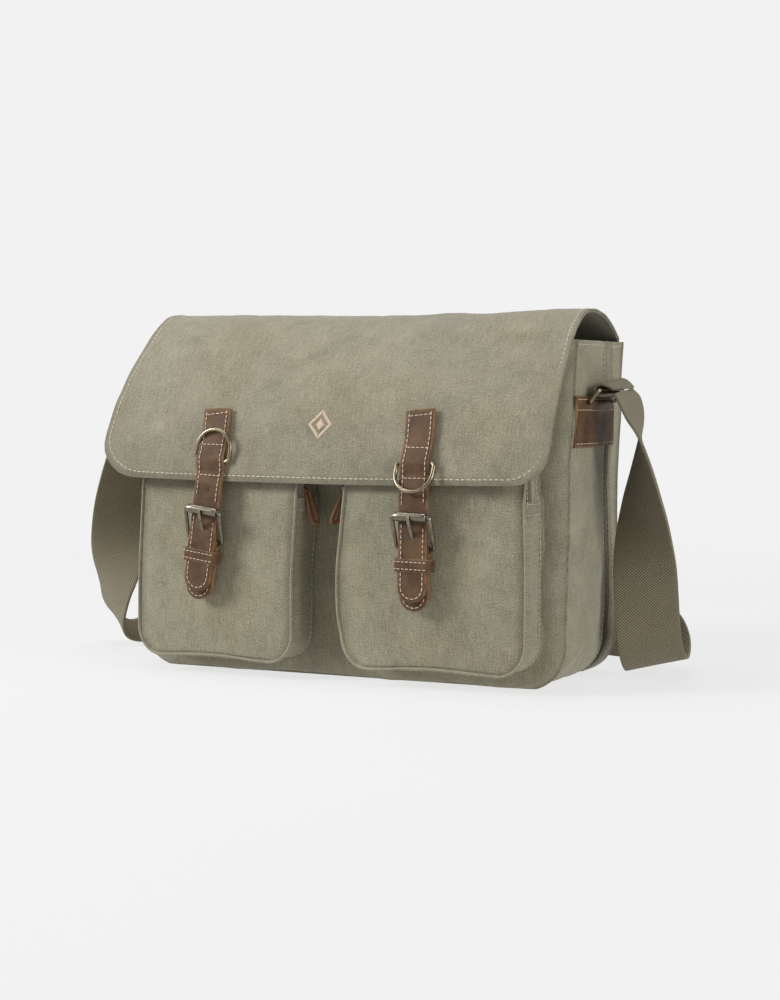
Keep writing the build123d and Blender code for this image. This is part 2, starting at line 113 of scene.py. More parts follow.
def curve(pairs, at):
    """Smooth function through (input, output) pairs, for an array of inputs."""
    x, y = np.array(pairs, float).T
    fine = spline(np.stack([x, y], 1), 200)
    return np.interp(at, fine[:, 0], fine[:, 1])


def grid_normals(P):
    du = np.gradient(P, axis=1)
    dv = np.gradient(P, axis=0)
    return unit(np.cross(du, dv))


def on_grid(grid, rows, columns, lift=0.25):
    """Points just above part of a grid, and their normals."""
    n = grid_normals(grid)[rows, columns]
    return grid[rows, columns] + n * lift, n


def crease(P, amount, size, seed, stretch=(1, 1, 1)):
    """Soft noise between -amount and amount for every point of a grid."""
    flat = P.reshape(-1, 3) / (size * vec(*stretch)) + seed
    return (np.array([noise.noise(Vector(q)) for q in flat]) * amount).reshape(P.shape[:-1])


def wrinkled(P, amount, size, seed, stretch=(1, 1, 1), fade=0.0):
    """Creases across a grid's face; with fade they die out within that distance of its side columns."""
    depth = crease(P, amount, size, seed, stretch)
    if fade:
        run = np.cumsum(np.linalg.norm(np.diff(P, axis=1, prepend=P[:, :1]), axis=2), axis=1)
        depth = depth * np.clip(np.minimum(run, run[:, -1:] - run) / fade, 0, 1) ** 1.5
    return P + grid_normals(P) * depth[..., None]


def slack(P):
    """Unevenness that every part of the body shares, so that its seams stay closed."""
    upright = np.clip((P[..., 2] - 8) / 40, 0, 1)
    x = (crease(P, 2.6, 75, 21.3) + crease(P, 1.0, 26, 44.1)) * upright
    y = (crease(P, 2.2, 80, 63.7) + crease(P, 0.8, 28, 12.9)) * upright
    return P + np.stack([x, y, 0 * x], -1)


# ---- turning grids into pieces ----------------
def new_object(name, mesh):
    obj = bpy.data.objects.new(name, mesh)
    bpy.context.scene.collection.objects.link(obj)
    return obj


def refinish(node, material):
    """New look for a CAD piece that stays."""
    materials = frame["nodes"][node].data.materials
    materials.clear()
    materials.append(material)


def place(obj, body, replaces=()):
    """Rides on a body; when body is (a, b, start, end) in millimetres, its transform is only baked into the
    mesh.
    """
    if isinstance(body, tuple):
        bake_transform(obj)
    else:
        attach(obj, body)
    if replaces:
        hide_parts(*replaces)
    return obj


def patch(name, P, body, materials, thick=0.0, replaces=(), closed=False, bevel=0.0, edges="lrtb"):
    """Sheet of cloth or leather from a grid of points. Its thickness goes in, away from its normals.

    closed joins the last row to the first. materials are the face's and, if given, the cut edge's.
    """
    rows, cols = P.shape[:2]
    index = np.arange(rows * cols).reshape(rows, cols)
    last = rows if closed else rows - 1
    faces = []
    for r in range(last):
        s = (r + 1) % rows
        for c in range(cols - 1):
            faces.append((index[r, c], index[r, c + 1], index[s, c + 1], index[s, c]))
    mesh = bpy.data.meshes.new(name)
    mesh.from_pydata((P.reshape(-1, 3) * MM).tolist(), [], [tuple(int(i) for i in f) for f in faces])
    across = np.cumsum(np.linalg.norm(np.diff(P, axis=1, prepend=P[:, :1]), axis=2), axis=1)
    across -= across.mean(axis=1, keepdims=True)
    along = np.cumsum(np.linalg.norm(np.diff(P, axis=0, prepend=P[:1]), axis=2), axis=0)
    along = along.mean(axis=1, keepdims=True) + along * 0
    uv = np.stack([across, along], -1).reshape(-1, 2) * MM
    layer = mesh.uv_layers.new(name="cloth")
    corner = np.array([l.vertex_index for l in mesh.loops])
    pairs = uv[corner].reshape(-1, 4, 2)
    if closed:      # the last strip ends one step past the last row, and not back at the start
        step = uv.reshape(rows, cols, 2)[1, :, 1].mean() - uv.reshape(rows, cols, 2)[0, :, 1].mean()
        wraps = pairs[:, 0, 1] > pairs[:, 3, 1]
        pairs[wraps, 2:, 1] = pairs[wraps, :1, 1] + step
    layer.data.foreach_set("uv", pairs.reshape(-1, 2).astype(np.float32).ravel())
    far = np.full((rows, cols), 99.0)
    borders = {"l": across - across[:, :1], "r": across - across[:, -1:],
               "t": along - along[:1], "b": along - along[-1:]}
    for edge in edges:
        far = np.minimum(far, np.abs(borders[edge]))
    attribute = mesh.attributes.new("edge", "FLOAT", "POINT")
    attribute.data.foreach_set("value", far.reshape(-1).astype(np.float32))
    mesh.shade_smooth()
    obj = new_object(name, mesh)
    for m in materials:
        mesh.materials.append(m)
    if thick:
        solid = obj.modifiers.new("thick", "SOLIDIFY")
        solid.thickness, solid.offset = thick * MM, -1
        solid.material_offset_rim = 1 if len(materials) > 1 else 0
    if bevel:
        round_off = obj.modifiers.new("round", "BEVEL")
        round_off.width, round_off.segments, round_off.limit_method = bevel * MM, 2, "ANGLE"
        round_off.angle_limit = math.radians(50)
    return place(obj, body, replaces)


class Pool:
    """Many small rounded pieces, such as stitches or zip teeth, gathered into one mesh for each body."""

    def __init__(self):
        self.groups = {}

    def add(self, key, start, end, out, radius, lift):
        self.groups.setdefault(key, []).append((start, end, out, radius, lift))

    def line(self, key, points, out, length=3.3, gap=1.2, radius=0.36, lift=0.12, closed=False):
        """Stitches along a line; out is the surface normal, one for all or one for each point."""
        p = np.asarray(points, float)
        n = np.broadcast_to(np.asarray(out, float), p.shape)
        both = resample(np.hstack([p, n]), step=(length + gap) / 8, closed=closed)
        for i in range(0, len(both) - 8, 8):
            j = i + max(3, int(round(8 * length / (length + gap))))
            self.add(key, both[i, :3], both[j, :3], unit(both[(i + j) // 2, 3:]), radius, lift)

    def build(self, prefix, bodies, slot, material):
        # each piece: share of its length, share of its radius, share of its lift
        stations = [(0.0, 0.25, -0.5), (0.12, 0.8, 0.1), (0.5, 1.0, 1.0), (0.88, 0.8, 0.1), (1.0, 0.25, -0.5)]
        sides = 6
        turn = whole_turn(sides)
        ring_faces = []
        for k in range(len(stations) - 1):
            for i in range(sides):
                j = (i + 1) % sides
                ring_faces.append((k * sides + i, k * sides + j, (k + 1) * sides + j, (k + 1) * sides + i))
        count = sides * len(stations)
        for key, items in self.groups.items():
            a, b, out, radius, lift = (np.array(values) for values in zip(*items))
            radius, lift = radius[:, None], lift[:, None]
            side = unit(np.cross(b - a, out))
            points = []
            for t, r, h in stations:
                middle = a + (b - a) * t + out * (lift * h)
                for w in turn:
                    points.append(middle + (side * math.cos(w) + out * math.sin(w) * 0.8) * radius * r)
            points = np.stack(points, 1).reshape(-1, 3)
            base = (np.arange(len(items)) * count)[:, None, None]
            faces = (np.array(ring_faces)[None] + base).reshape(-1, 4)
            mesh = bpy.data.meshes.new(f"{prefix}_{key}")
            mesh.from_pydata((points * MM).tolist(), [], faces.tolist())
            mesh.materials.append(material)
            mesh.shade_smooth()
            place(new_object(f"{prefix}_{key}", mesh), bodies[key])


def tube(name, points, radius, body, material, closed=True, sides=12, flat=1.0, replaces=()):
    """Round bar or cord along a line. radius is one number or one for each point; flat squashes it."""
    p = np.asarray(points, float)
    along = unit(np.roll(p, -1, 0) - np.roll(p, 1, 0)) if closed else unit(np.gradient(p, axis=0))
    helper = vec(0, 0, 1) if abs(along[0][2]) < 0.9 else vec(0, 1, 0)
    first = unit(np.cross(along[0], helper))
    frames = []
    for t in along:
        first = unit(first - t * np.dot(first, t))
        frames.append((first, np.cross(t, first)))
    radii = np.broadcast_to(np.asarray(radius, float), len(p))
    turn = np.linspace(0, 2 * np.pi, sides + 1)
    P = np.array([[c + r * (f * math.cos(w) + g * math.sin(w) * flat) for w in turn]
                  for c, r, (f, g) in zip(p, radii, frames)])
    return patch(name, P, body, [material], closed=closed, replaces=replaces, edges="")


# ---- materials ----------------
class Nodes:
    """Short way to write a node tree."""

    def __init__(self, name):
        self.material = bpy.data.materials.new(name)
        self.material.use_nodes = True
        self.tree = self.material.node_tree
        self.tree.nodes.clear()
        self.shader = self.node("ShaderNodeBsdfPrincipled")
        self.link(self.shader.outputs[0], self.node("ShaderNodeOutputMaterial").inputs[0])

    def node(self, kind, **settings):
        n = self.tree.nodes.new(kind)
        for k, v in settings.items():
            setattr(n, k, v)
        return n

    def link(self, a, b):
        self.tree.links.new(a, b)

    def put(self, socket, value):
        if isinstance(value, bpy.types.NodeSocket):
            self.link(value, socket)
        else:
            socket.default_value = value

    def fixed(self, values):
        for name, value in values.items():
            self.shader.inputs[name].default_value = value

    def math(self, operation, a, b=0.0, clamp=False):
        n = self.node("ShaderNodeMath", operation=operation, use_clamp=clamp)
        self.put(n.inputs[0], a)
        self.put(n.inputs[1], b)
        return n.outputs[0]

    def sum(self, *terms):
        """Sum of (value, weight) terms."""
        parts = [self.math("MULTIPLY", value, weight) for value, weight in terms]
        total = parts[0]
        for part in parts[1:]:
            total = self.math("ADD", total, part)
        return total

    def mix(self, share, a, b):
        n = self.node("ShaderNodeMix", data_type="RGBA")
        self.put(n.inputs[0], share)
        self.put(n.inputs[6], a)
        self.put(n.inputs[7], b)
        return n.outputs[2]

    def span(self, value, low, high, to_low=0.0, to_high=1.0):
        n = self.node("ShaderNodeMapRange")
        for socket, v in zip(n.inputs, (value, low, high, to_low, to_high)):
            self.put(socket, v)
        return n.outputs[0]

    def coordinates(self, kind, scale):
        n = self.node("ShaderNodeMapping")
        self.link(self.node("ShaderNodeTexCoord").outputs[kind], n.inputs[0])
        n.inputs["Scale"].default_value = scale
        return n.outputs[0]

    def uv(self, scale=(1, 1, 1)):
        return self.coordinates("UV", scale)

    def place(self, scale=(1, 1, 1)):
        return self.coordinates("Object", scale)

    def noise(self, vector, scale=1.0, detail=3.0, rough=0.55):
        n = self.node("ShaderNodeTexNoise")
        self.link(vector, n.inputs["Vector"])
        n.inputs["Scale"].default_value = scale
        n.inputs["Detail"].default_value = detail
        n.inputs["Roughness"].default_value = rough
        return n.outputs[0]

    def bump(self, height, strength, distance):
        n = self.node("ShaderNodeBump")
        self.put(n.inputs["Height"], height)
        n.inputs["Strength"].default_value = strength
        n.inputs["Distance"].default_value = distance
        self.link(n.outputs[0], self.shader.inputs["Normal"])

    def attribute(self, name):
        return self.node("ShaderNodeAttribute", attribute_name=name).outputs["Fac"]

    def weave(self, pitch_u, pitch_v):
        """Over-and-under pattern of two sets of threads, from -1 to 1."""
        parts = self.node("ShaderNodeSeparateXYZ")
        self.link(self.uv(), parts.inputs[0])
        a, b = (self.math("SINE", self.math("MULTIPLY", parts.outputs[k], math.pi / (pitch * MM)))
                for k, pitch in enumerate((pitch_u, pitch_v)))
        return self.math("MULTIPLY", a, b)


def tinted(colour, r, g, b):
    return colour[0] * r, colour[1] * g, colour[2] * b, 1


def canvas(name, dark, light, warp="v", gain=1.0):
    """Washed cotton canvas: thread streaks along the warp, cloudy fading, paler worn seams, and painted shade
    that darkens it near its edges.
    """
    m = Nodes(name)
    warp_scale, weft_scale = ((1500, 70, 1), (90, 1500, 1)) if warp == "v" else ((70, 1500, 1), (1500, 90, 1))
    warp_streak = m.noise(m.uv(warp_scale), 1, 2, 0.6)
    weft_streak = m.noise(m.uv(weft_scale), 1, 2, 0.6)
    thread = m.sum((warp_streak, 0.62), (weft_streak, 0.38))
    speck = m.noise(m.place(), 1300, 2, 0.7)
    cloud = m.noise(m.place(), 26, 5, 0.62)
    patchy = m.noise(m.place(), 75, 4, 0.6)
    grain = m.noise(m.uv((1500, 1000, 1)), 1, 1, 0.5)
    tone = m.sum((thread, 0.95), (speck, 0.75), (m.math("SUBTRACT", grain, 0.5), 1.1), (cloud, 0.42),
                 (patchy, 0.24))
    share = m.span(tone, 0.90, 1.44)
    edge = m.attribute("edge")
    worn = m.span(edge, 0.2, 2.2, 0.34, 0.0)
    worn = m.math("MULTIPLY", worn, m.span(m.noise(m.place(), 240, 3), 0.35, 0.6))
    # painted shade: the colour darkens to 0.7 within about 8 mm of the piece's edges, standing in for the
    # shadow along its seams
    painted_seam_shade = m.span(edge, 0.8, 8.0, 0.70, 1.0)
    colour = m.mix(share, (*dark, 1), (*light, 1))
    warm = m.span(m.noise(m.place(), 15, 3), 0.42, 0.62, 0.0, 0.35)
    colour = m.mix(warm, colour, m.mix(share, tinted(dark, 1.13, 1.02, 0.86), tinted(light, 1.08, 1.0, 0.88)))
    colour = m.mix(worn, colour, tinted(light, 1.32, 1.3, 1.26))
    dim = m.node("ShaderNodeVectorMath", operation="SCALE")
    m.link(colour, dim.inputs[0])
    m.put(dim.inputs[3], m.math("MULTIPLY", painted_seam_shade, gain))
    m.link(dim.outputs[0], m.shader.inputs["Base Color"])
    m.put(m.shader.inputs["Roughness"], m.span(thread, 0.3, 0.7, 0.98, 0.86))
    m.fixed({"Sheen Weight": 0.14, "Sheen Roughness": 0.5, "Specular IOR Level": 0.22})
    m.bump(m.sum((m.weave(0.42, 0.42), 0.35), (thread, 1.5), (patchy, 0.8)), 0.55, 0.00028)
    return m.material


def webbing(name):
    """Coarse olive-brown webbing in a two-colour lozenge weave."""
    m = Nodes(name)
    weave = m.weave(1.35, 1.15)
    share = m.span(weave, -0.5, 0.75)
    fibre = m.noise(m.uv((2600, 500, 1)), 1, 2)
    cloud = m.noise(m.place(), 45, 3)
    colour = m.mix(share, (0.066, 0.056, 0.032, 1), (0.285, 0.250, 0.160, 1))
    colour = m.mix(m.span(fibre, 0.35, 0.7, 0.0, 0.4), colour, (0.250, 0.220, 0.146, 1))
    colour = m.mix(m.span(cloud, 0.4, 0.65, 0.0, 0.25), colour, (0.150, 0.126, 0.075, 1))
    colour = m.mix(m.span(m.attribute("edge"), 0.3, 1.6, 0.4, 0.0), colour, (0.2, 0.178, 0.120, 1))
    m.link(colour, m.shader.inputs["Base Color"])
    m.fixed({"Roughness": 0.86, "Sheen Weight": 0.12, "Specular IOR Level": 0.3})
    m.bump(m.sum((weave, 1.0), (fibre, 0.7)), 0.75, 0.00045)
    return m.material


def leather(name, dark, light, rough, worn_edge):
    """Waxed leather: pores, faint scratches, pulled-up paler tone, and rubbed borders."""
    m = Nodes(name)
    cells = m.node("ShaderNodeTexVoronoi", feature="DISTANCE_TO_EDGE")
    m.link(m.place(), cells.inputs["Vector"])
    cells.inputs["Scale"].default_value = 1050
    cloud = m.noise(m.place(), 70, 5, 0.62)
    scratch = m.noise(m.place((900, 160, 260)), 1, 3)
    pull = m.noise(m.place(), 190, 3)
    share = m.span(m.sum((cloud, 1.0), (pull, 0.35)), 0.48, 0.86)
    colour = m.mix(share, (*dark, 1), (*light, 1))
    colour = m.mix(m.span(scratch, 0.62, 0.72, 0.0, 0.35), colour, tinted(light, 1.5, 1.4, 1.3))
    rub = m.math("MULTIPLY", m.span(m.attribute("edge"), 0.3, 1.7, worn_edge, 0.0), m.span(pull, 0.3, 0.6))
    colour = m.mix(rub, colour, (0.25, 0.135, 0.062, 1))
    m.link(colour, m.shader.inputs["Base Color"])
    m.fixed({"Specular IOR Level": 0.3})
    m.put(m.shader.inputs["Roughness"], m.span(pull, 0.3, 0.7, rough - 0.08, rough + 0.12))
    m.bump(m.sum((m.span(cells.outputs["Distance"], 0.0, 0.25), 1.0), (cloud, 1.4)), 0.4, 0.00022)
    return m.material


def metal(name, dark, light, rough):
    """Antiqued metal: brown patina in the recesses, brighter where it is rubbed."""
    m = Nodes(name)
    cloud = m.noise(m.place(), 210, 4, 0.65)
    fine = m.noise(m.place(), 1500, 3, 0.6)
    share = m.span(m.sum((cloud, 1.0), (fine, 0.15)), 0.35, 0.85)
    bright = m.node("ShaderNodeNewGeometry").outputs["Pointiness"]
    share = m.math("ADD", share, m.span(bright, 0.5, 0.56, 0.0, 0.5), clamp=True)
    m.link(m.mix(share, (*dark, 1), (*light, 1)), m.shader.inputs["Base Color"])
    m.fixed({"Metallic": 1.0})
    m.put(m.shader.inputs["Roughness"], m.span(cloud, 0.3, 0.7, rough + 0.14, rough - 0.06))
    m.bump(m.math("ADD", cloud, fine), 0.08, 0.0001)
    return m.material


def thread(name, colour):
    """Twisted thread, a little uneven in tone."""
    m = Nodes(name)
    twist = m.noise(m.place(), 2600, 1)
    tone = m.noise(m.place(), 160, 2)
    mixed = m.mix(m.span(twist, 0.35, 0.65), tinted(colour, 0.72, 0.70, 0.66), (*colour, 1))
    mixed = m.mix(m.span(tone, 0.4, 0.6, 0.0, 0.3), mixed, tinted(colour, 0.8, 0.72, 0.6))
    m.link(mixed, m.shader.inputs["Base Color"])
    m.fixed({"Roughness": 0.8})
    m.bump(twist, 0.5, 0.0001)
    return m.material


SAGE_DARK, SAGE_LIGHT = (0.140, 0.128, 0.083), (0.335, 0.317, 0.232)
CANVAS_V = canvas("canvas_upright_warp", SAGE_DARK, SAGE_LIGHT, "v")
CANVAS_H = canvas("canvas_level_warp", SAGE_DARK, SAGE_LIGHT, "u")
CANVAS_FLAP = canvas("canvas_flap", (0.125, 0.114, 0.076), (0.300, 0.280, 0.207), "v")
LINING = canvas("lining_cloth", (0.095, 0.088, 0.058), (0.17, 0.158, 0.112), "v")
TAPE = canvas("zip_tape_cloth", (0.135, 0.122, 0.078), (0.215, 0.198, 0.140), "v")
WEBBING = webbing("strap_webbing")
LEATHER = leather("dark_leather", (0.052, 0.026, 0.011), (0.115, 0.062, 0.027), 0.58, 0.6)
LEATHER_EDGE = leather("leather_cut_edge", (0.125, 0.062, 0.026), (0.27, 0.142, 0.066), 0.6, 0.2)
PULL_LEATHER = leather("tan_pull_leather", (0.15, 0.064, 0.030), (0.26, 0.118, 0.056), 0.5, 0.4)
NICKEL = metal("antique_nickel", (0.085, 0.075, 0.056), (0.25, 0.225, 0.175), 0.32)
BRASS = metal("antique_brass", (0.115, 0.094, 0.058), (0.33, 0.285, 0.195), 0.30)
COIL = thread("zip_coil", (0.13, 0.125, 0.092))
CREAM = thread("cream_thread", (0.62, 0.575, 0.46))
BLUSH = thread("blush_thread", (0.70, 0.55, 0.43))
BOARD = thread("board_grey", (0.05, 0.05, 0.05))

sewing, leather_sewing, teeth = Pool(), Pool(), Pool()


# ---- the flap ----------------
# (y, z) from the back hinge to the front edge, at the right side, the left side and the centre
FLAP_RIGHT = [(60.5, 273), (43, 284.5), (24, 292.5), (-2, 295.6), (-21, 291.5), (-39, 279.5), (-53, 264),
              (-69, 243), (-84, 218), (-95, 196), (-103, 177), (-108, 160)]
FLAP_LEFT = [(60.5, 273), (44, 285), (24, 293.5), (-3, 296.6), (-23, 292), (-42, 280.5), (-59, 264.5),
             (-77, 246), (-92, 225), (-103, 203), (-109, 181), (-111.5, 161)]
FLAP_CENTRE = [(60.5, 273), (44, 283), (24, 290.5), (-2, 293.2), (-22, 289.6), (-42, 278.6), (-59, 263),
               (-78, 241), (-94, 216), (-103.5, 193), (-109, 174), (-112, 158)]
FLAP_ROWS, FLAP_COLS = 120, 128
FLAP_HALF, FLAP_CORNER = 190.5, 27.0
flap_lines = [spline(line, FLAP_ROWS) for line in (FLAP_LEFT, FLAP_CENTRE, FLAP_RIGHT)]
FLAP_LENGTH = length_of(flap_lines[1])


def flap_grid(inset=0.0):
    """Outer face of the flap. Rows run from the back hinge to the front edge, columns from left to right."""
    half = FLAP_HALF - inset
    s = closer_at_ends(FLAP_COLS, 0.86)
    x = s * half
    a, b, c = flap_lines
    side = s[None, :, None]
    mix = b[:, None] + (c - a)[:, None] / 2 * side**3 + ((a + c) / 2 - b)[:, None] * side**2
    over = np.clip(np.abs(x) - (half - FLAP_CORNER), 0, FLAP_CORNER)
    short = inset + FLAP_CORNER - np.sqrt(FLAP_CORNER**2 - over**2)
    rows = np.linspace(0, 1, FLAP_ROWS)
    P = np.zeros((FLAP_ROWS, FLAP_COLS, 3))
    for j in range(FLAP_COLS):
        at = rows * (1 - short[j] / FLAP_LENGTH)
        for k in (0, 1):
            P[:, j, k + 1] = np.interp(at, rows, mix[:, j, k])
        front = np.clip((rows - 0.55) / 0.45, 0, 1)
        flare = 7.0 * front**1.5 if x[j] < 0 else 0.5 * front
        P[:, j, 0] = x[j] + flare * s[j] * abs(s[j])**3
    return P


def flap_surface(grid):
    """Gives (point, normal) on a flap grid for an x and a height on its front."""
    normals = -grid_normals(grid)

    def at(x, z):
        j = int(np.argmin(np.abs(grid[FLAP_ROWS // 2, :, 0] - x)))
        front = np.arange(FLAP_ROWS // 3, FLAP_ROWS)
        i = front[np.argmin(np.abs(grid[front, j, 2] - z))]
        y = np.interp(-z, -grid[front, j, 2], grid[front, j, 1])
        return vec(x, y, z), normals[i, j]

    return at


def flap_creases(P):
    """Rolls and ripples, dying out towards the back hinge."""
    down = np.linspace(0, 1, P.shape[0])[:, None]
    amount = crease(P, 2.2, 70, 3.1) + crease(P, 1.0, 26, 8.2, (1, 1, 0.7)) + crease(P, 0.35, 9, 1.7)
    amount = amount * np.clip(down * 6, 0, 1)
    N = -grid_normals(P)
    return P + N * amount[..., None]


FLAP_BEND = ("flap_top", "flap_front", (0, -20, 288), (0, -64, 256))
flap = flap_creases(flap_grid())
flap_at = flap_surface(flap)
patch("flap_canvas", flap[:, ::-1], FLAP_BEND, [CANVAS_FLAP], thick=1.5, bevel=0.5,
      replaces=("flap_top_canvas", "flap_front_canvas"), edges="lrb")
inner = flap_creases(flap_grid(0.7))
inner = inner + grid_normals(inner) * 1.75
patch("flap_lining", inner[:, ::-1], FLAP_BEND, [CANVAS_H], thick=0.9, bevel=0.3,
      replaces=("flap_top_lining", "flap_front_lining"), edges="lrb")
BODIES = {"flap": FLAP_BEND}


def flap_border(distance):
    """Line at a distance inside the flap's three free edges, and its normals."""
    g = flap_creases(flap_grid(distance))
    return [np.vstack([a[6:, 0], a[-1, 1:-1], a[6:, -1][::-1]]) for a in (g, -grid_normals(g))]


sewing.line("flap", *flap_border(4.6), length=3.4, gap=1.1, radius=0.42)


def emblem():
    """Small embroidered lozenge in satin stitch."""
    def satin(a0, a1, b):
        if a1 - a0 > 0.6:
            ends = [flap_at(-1.5 + a, 204 + b) for a in (a0, a1)]
            leather_sewing.add("flap", ends[0][0], ends[1][0], ends[0][1], 0.5, 0.45)

    for b in np.arange(-11.5, 11.6, 0.82):
        outer = 10.5 * (1 - abs(b) / 12)
        inner = max(outer - 3.4, 0)
        satin(-outer, -inner, b)
        satin(inner, outer, b)
        core = 4.0 * (1 - abs(b) / 4.6)
        if core > 0.4:
            satin(-core, core, b)


emblem()


# ---- body of the bag ----------------
HALF, TOP, CORNER = 190.0, 270.0, 35.0
# (height, y) of the front and back seams
SEAM = [(0, -60), (20, -62), (55, -62.5), (102, -61), (159, -59.5), (180, -59), (231, -47), (255, -41),
        (272, -37)]
BACK = [(0, 58), (60, 57), (150, 57.5), (190, 58.5), (236, 61), (255, 64), (272, 68)]


def u_path(count, inset=0.0):
    """Points (x, z) down the left side, along the base and up the right side, and their outward normals."""
    half, low, r = HALF - inset, inset, CORNER - inset
    turn = np.linspace(0, np.pi / 2, 14)
    left = np.stack([-half + r - r * np.cos(turn), low + r - r * np.sin(turn)], 1)
    right = np.stack([half - r + r * np.sin(turn), low + r - r * np.cos(turn)], 1)
    line = resample(np.vstack([[(-half, TOP)], left, right, [(half, TOP)]]), count)
    along = unit(np.gradient(line, axis=0))
    return line, np.stack([along[:, 1], -along[:, 0]], 1)


def u_band(y_front, y_back, columns, rise, rows=240):
    """Band round the sides and base. y_front and y_back are functions of height; rise(v, z, x) moves it out."""
    line, out = u_path(rows)
    v = np.linspace(0, 1, columns)
    P = np.zeros((rows, columns, 3))
    for i, ((x, z), (nx, nz)) in enumerate(zip(line, out)):
        y = y_front(z) + (y_back(z) - y_front(z)) * v
        lift = rise(v, z, x)
        P[i] = np.stack([x + nx * lift, y, z + nz * lift], 1)
    return P


def above_floor(P, low=0.0):
    """Lifts points that lie below a height up to it."""
    P[..., 2] = np.maximum(P[..., 2], low)
    return P


def seam_y(z):
    return curve(SEAM, z)


def back_y(z):
    return curve(BACK, z)


def side_swell(v, z, x):
    """Soft swelling of the gusset between its seams."""
    upright = np.clip((z - 20) / 60, 0, 1) * np.clip((TOP + 25 - z) / 60, 0.2, 1)
    swell = 2.6 * np.sin(np.pi * np.clip(v, 0, 1)) ** 0.7 * upright
    ridge = 1.8 * np.exp(-(v / 0.035) ** 2)
    valley = -2.2 * np.exp(-((v - 0.085) / 0.055) ** 2)
    return swell + ridge + valley


ZIP_FRONT, ZIP_BACK = 26.0, 36.0
gusset = u_band(seam_y, lambda z: ZIP_FRONT + 0 * z, 40, side_swell)
gusset = above_floor(slack(wrinkled(wrinkled(gusset, 2.0, 48, 5.5, fade=14), 0.8, 17, 9.5, fade=10)))
patch("gusset_canvas", gusset, "bag", [CANVAS_V], thick=2.0, bevel=0.6, replaces=("front_gusset",),
      edges="lr")
tape = u_band(lambda z: ZIP_FRONT - 2 + 0 * z, lambda z: ZIP_BACK + 2 + 0 * z, 9, lambda v, z, x: -0.9 + 0 * v)
patch("expansion_tape", above_floor(slack(tape), 0.6), "bag", [TAPE], thick=0.8,
      replaces=("expansion_zip_tape",))


def rear_swell(v, z, x):
    return 0.9 * np.sin(np.pi * v) + 1.3 * np.exp(-((v - 1) / 0.12) ** 2) + 0.4 * np.exp(-(v / 0.1) ** 2)


rear = u_band(lambda z: ZIP_BACK + 0 * z, back_y, 16, rear_swell)
rear = above_floor(slack(wrinkled(rear, 0.9, 40, 2.5, fade=8)))
patch("rear_gusset_canvas", rear, "bag", [CANVAS_V], thick=2.0, bevel=0.6,
      replaces=("rear_gusset",), edges="lr")


def panel_grid(rows, columns, edge_y, depth, corner_round, sign):
    """Front or back panel: a sheet that curves back to its seam round the sides and base."""
    z = np.concatenate([np.linspace(0, 40, rows // 3, endpoint=False), np.linspace(40, TOP, rows - rows // 3)])
    under = np.clip(CORNER - z, 0, CORNER)
    half = HALF + 1.3 - CORNER + np.sqrt(CORNER**2 - under**2)
    s = closer_at_ends(columns, 0.9)
    X = half[:, None] * s[None]
    Z = np.repeat(z[:, None], columns, 1)
    gap = np.minimum(HALF - np.abs(X), Z)
    corner = (np.abs(X) > HALF - CORNER) & (Z < CORNER)
    reach = np.hypot(np.abs(X) - (HALF - CORNER), Z - CORNER)
    gap = np.clip(np.where(corner, CORNER - reach, gap), 0, corner_round)
    t = 1 - gap / corner_round
    Y = edge_y(Z) + sign * depth * np.sqrt(np.clip(1 - t**2, 0, 1))
    return np.stack([X, Y, Z], -1)


front = panel_grid(100, 140, seam_y, 9.0, 19.0, -1)
front = above_floor(slack(wrinkled(wrinkled(front, 1.8, 44, 4.4, (1, 1, 1.5), fade=18), 0.6, 15, 3.9,
                                   (1, 1, 1.6), fade=12)))
patch("front_canvas", front, "bag", [CANVAS_V], thick=1.8, bevel=0.5, replaces=("front_panel",),
      edges="lrtb")
back = panel_grid(90, 110, back_y, 3.0, 14.0, 1)
back = above_floor(slack(wrinkled(back[:, ::-1], 1.5, 70, 6.4, fade=20)))
patch("back_canvas", back, "bag", [CANVAS_V], thick=1.8, bevel=0.5, replaces=("back_panel",),
      edges="lrtb")

COVER_Z = 186.0     # above this the expansion zip is sewn under a strip of canvas
for side, sign in (("left", -1), ("right", 1)):
    rows = gusset[gusset[:, 0, 0] * sign > 0]
    rows = rows[rows[:, -1, 2] > COVER_Z]
    near, far = rows[:, -2], rear[rear[:, 0, 0] * sign > 0]
    far = far[far[:, 0, 2] > COVER_Z][:, 1]
    far = far[np.linspace(0, len(far) - 1, len(near)).round().astype(int)]
    share = np.linspace(0, 1, 12)[None, :, None]
    strip = near[:, None] * (1 - share) + far[:, None] * share
    strip[..., 0] += sign * 0.7 * np.sin(np.pi * np.linspace(0, 1, 12))[None]
    patch(f"{side}_zip_cover", strip, "bag", [CANVAS_V], thick=0.8, bevel=0.3)

line, out = u_path(300)
teeth_y = (ZIP_FRONT + ZIP_BACK) / 2
for offset in (-1.5, 1.5):
    inside = line - out * 0.4
    coil = np.stack([inside[:, 0], np.full(len(line), teeth_y + offset), inside[:, 1]], 1)
    path = resample(slack(coil[coil[:, 2] > 1.5]), step=1.5)
    for p in path:
        teeth.add("bag", p - vec(0, 1.5, 0), p + vec(0, 1.5, 0),
                  unit(vec(p[0], 0, 0)) if p[2] > 40 else vec(0, 0, -1), 0.5, 0.2)


sewing.line("bag", *on_grid(gusset, slice(None), -3))
sewing.line("bag", *on_grid(rear, slice(None), 4))
for k in (1, -2):      # hem of the mouth on each side
    sewing.line("bag", *on_grid(gusset, k, slice(1, -1)))
    sewing.line("bag", *on_grid(rear, k, slice(1, -1)))
sewing.line("bag", *on_grid(front, -3, slice(2, -2)))


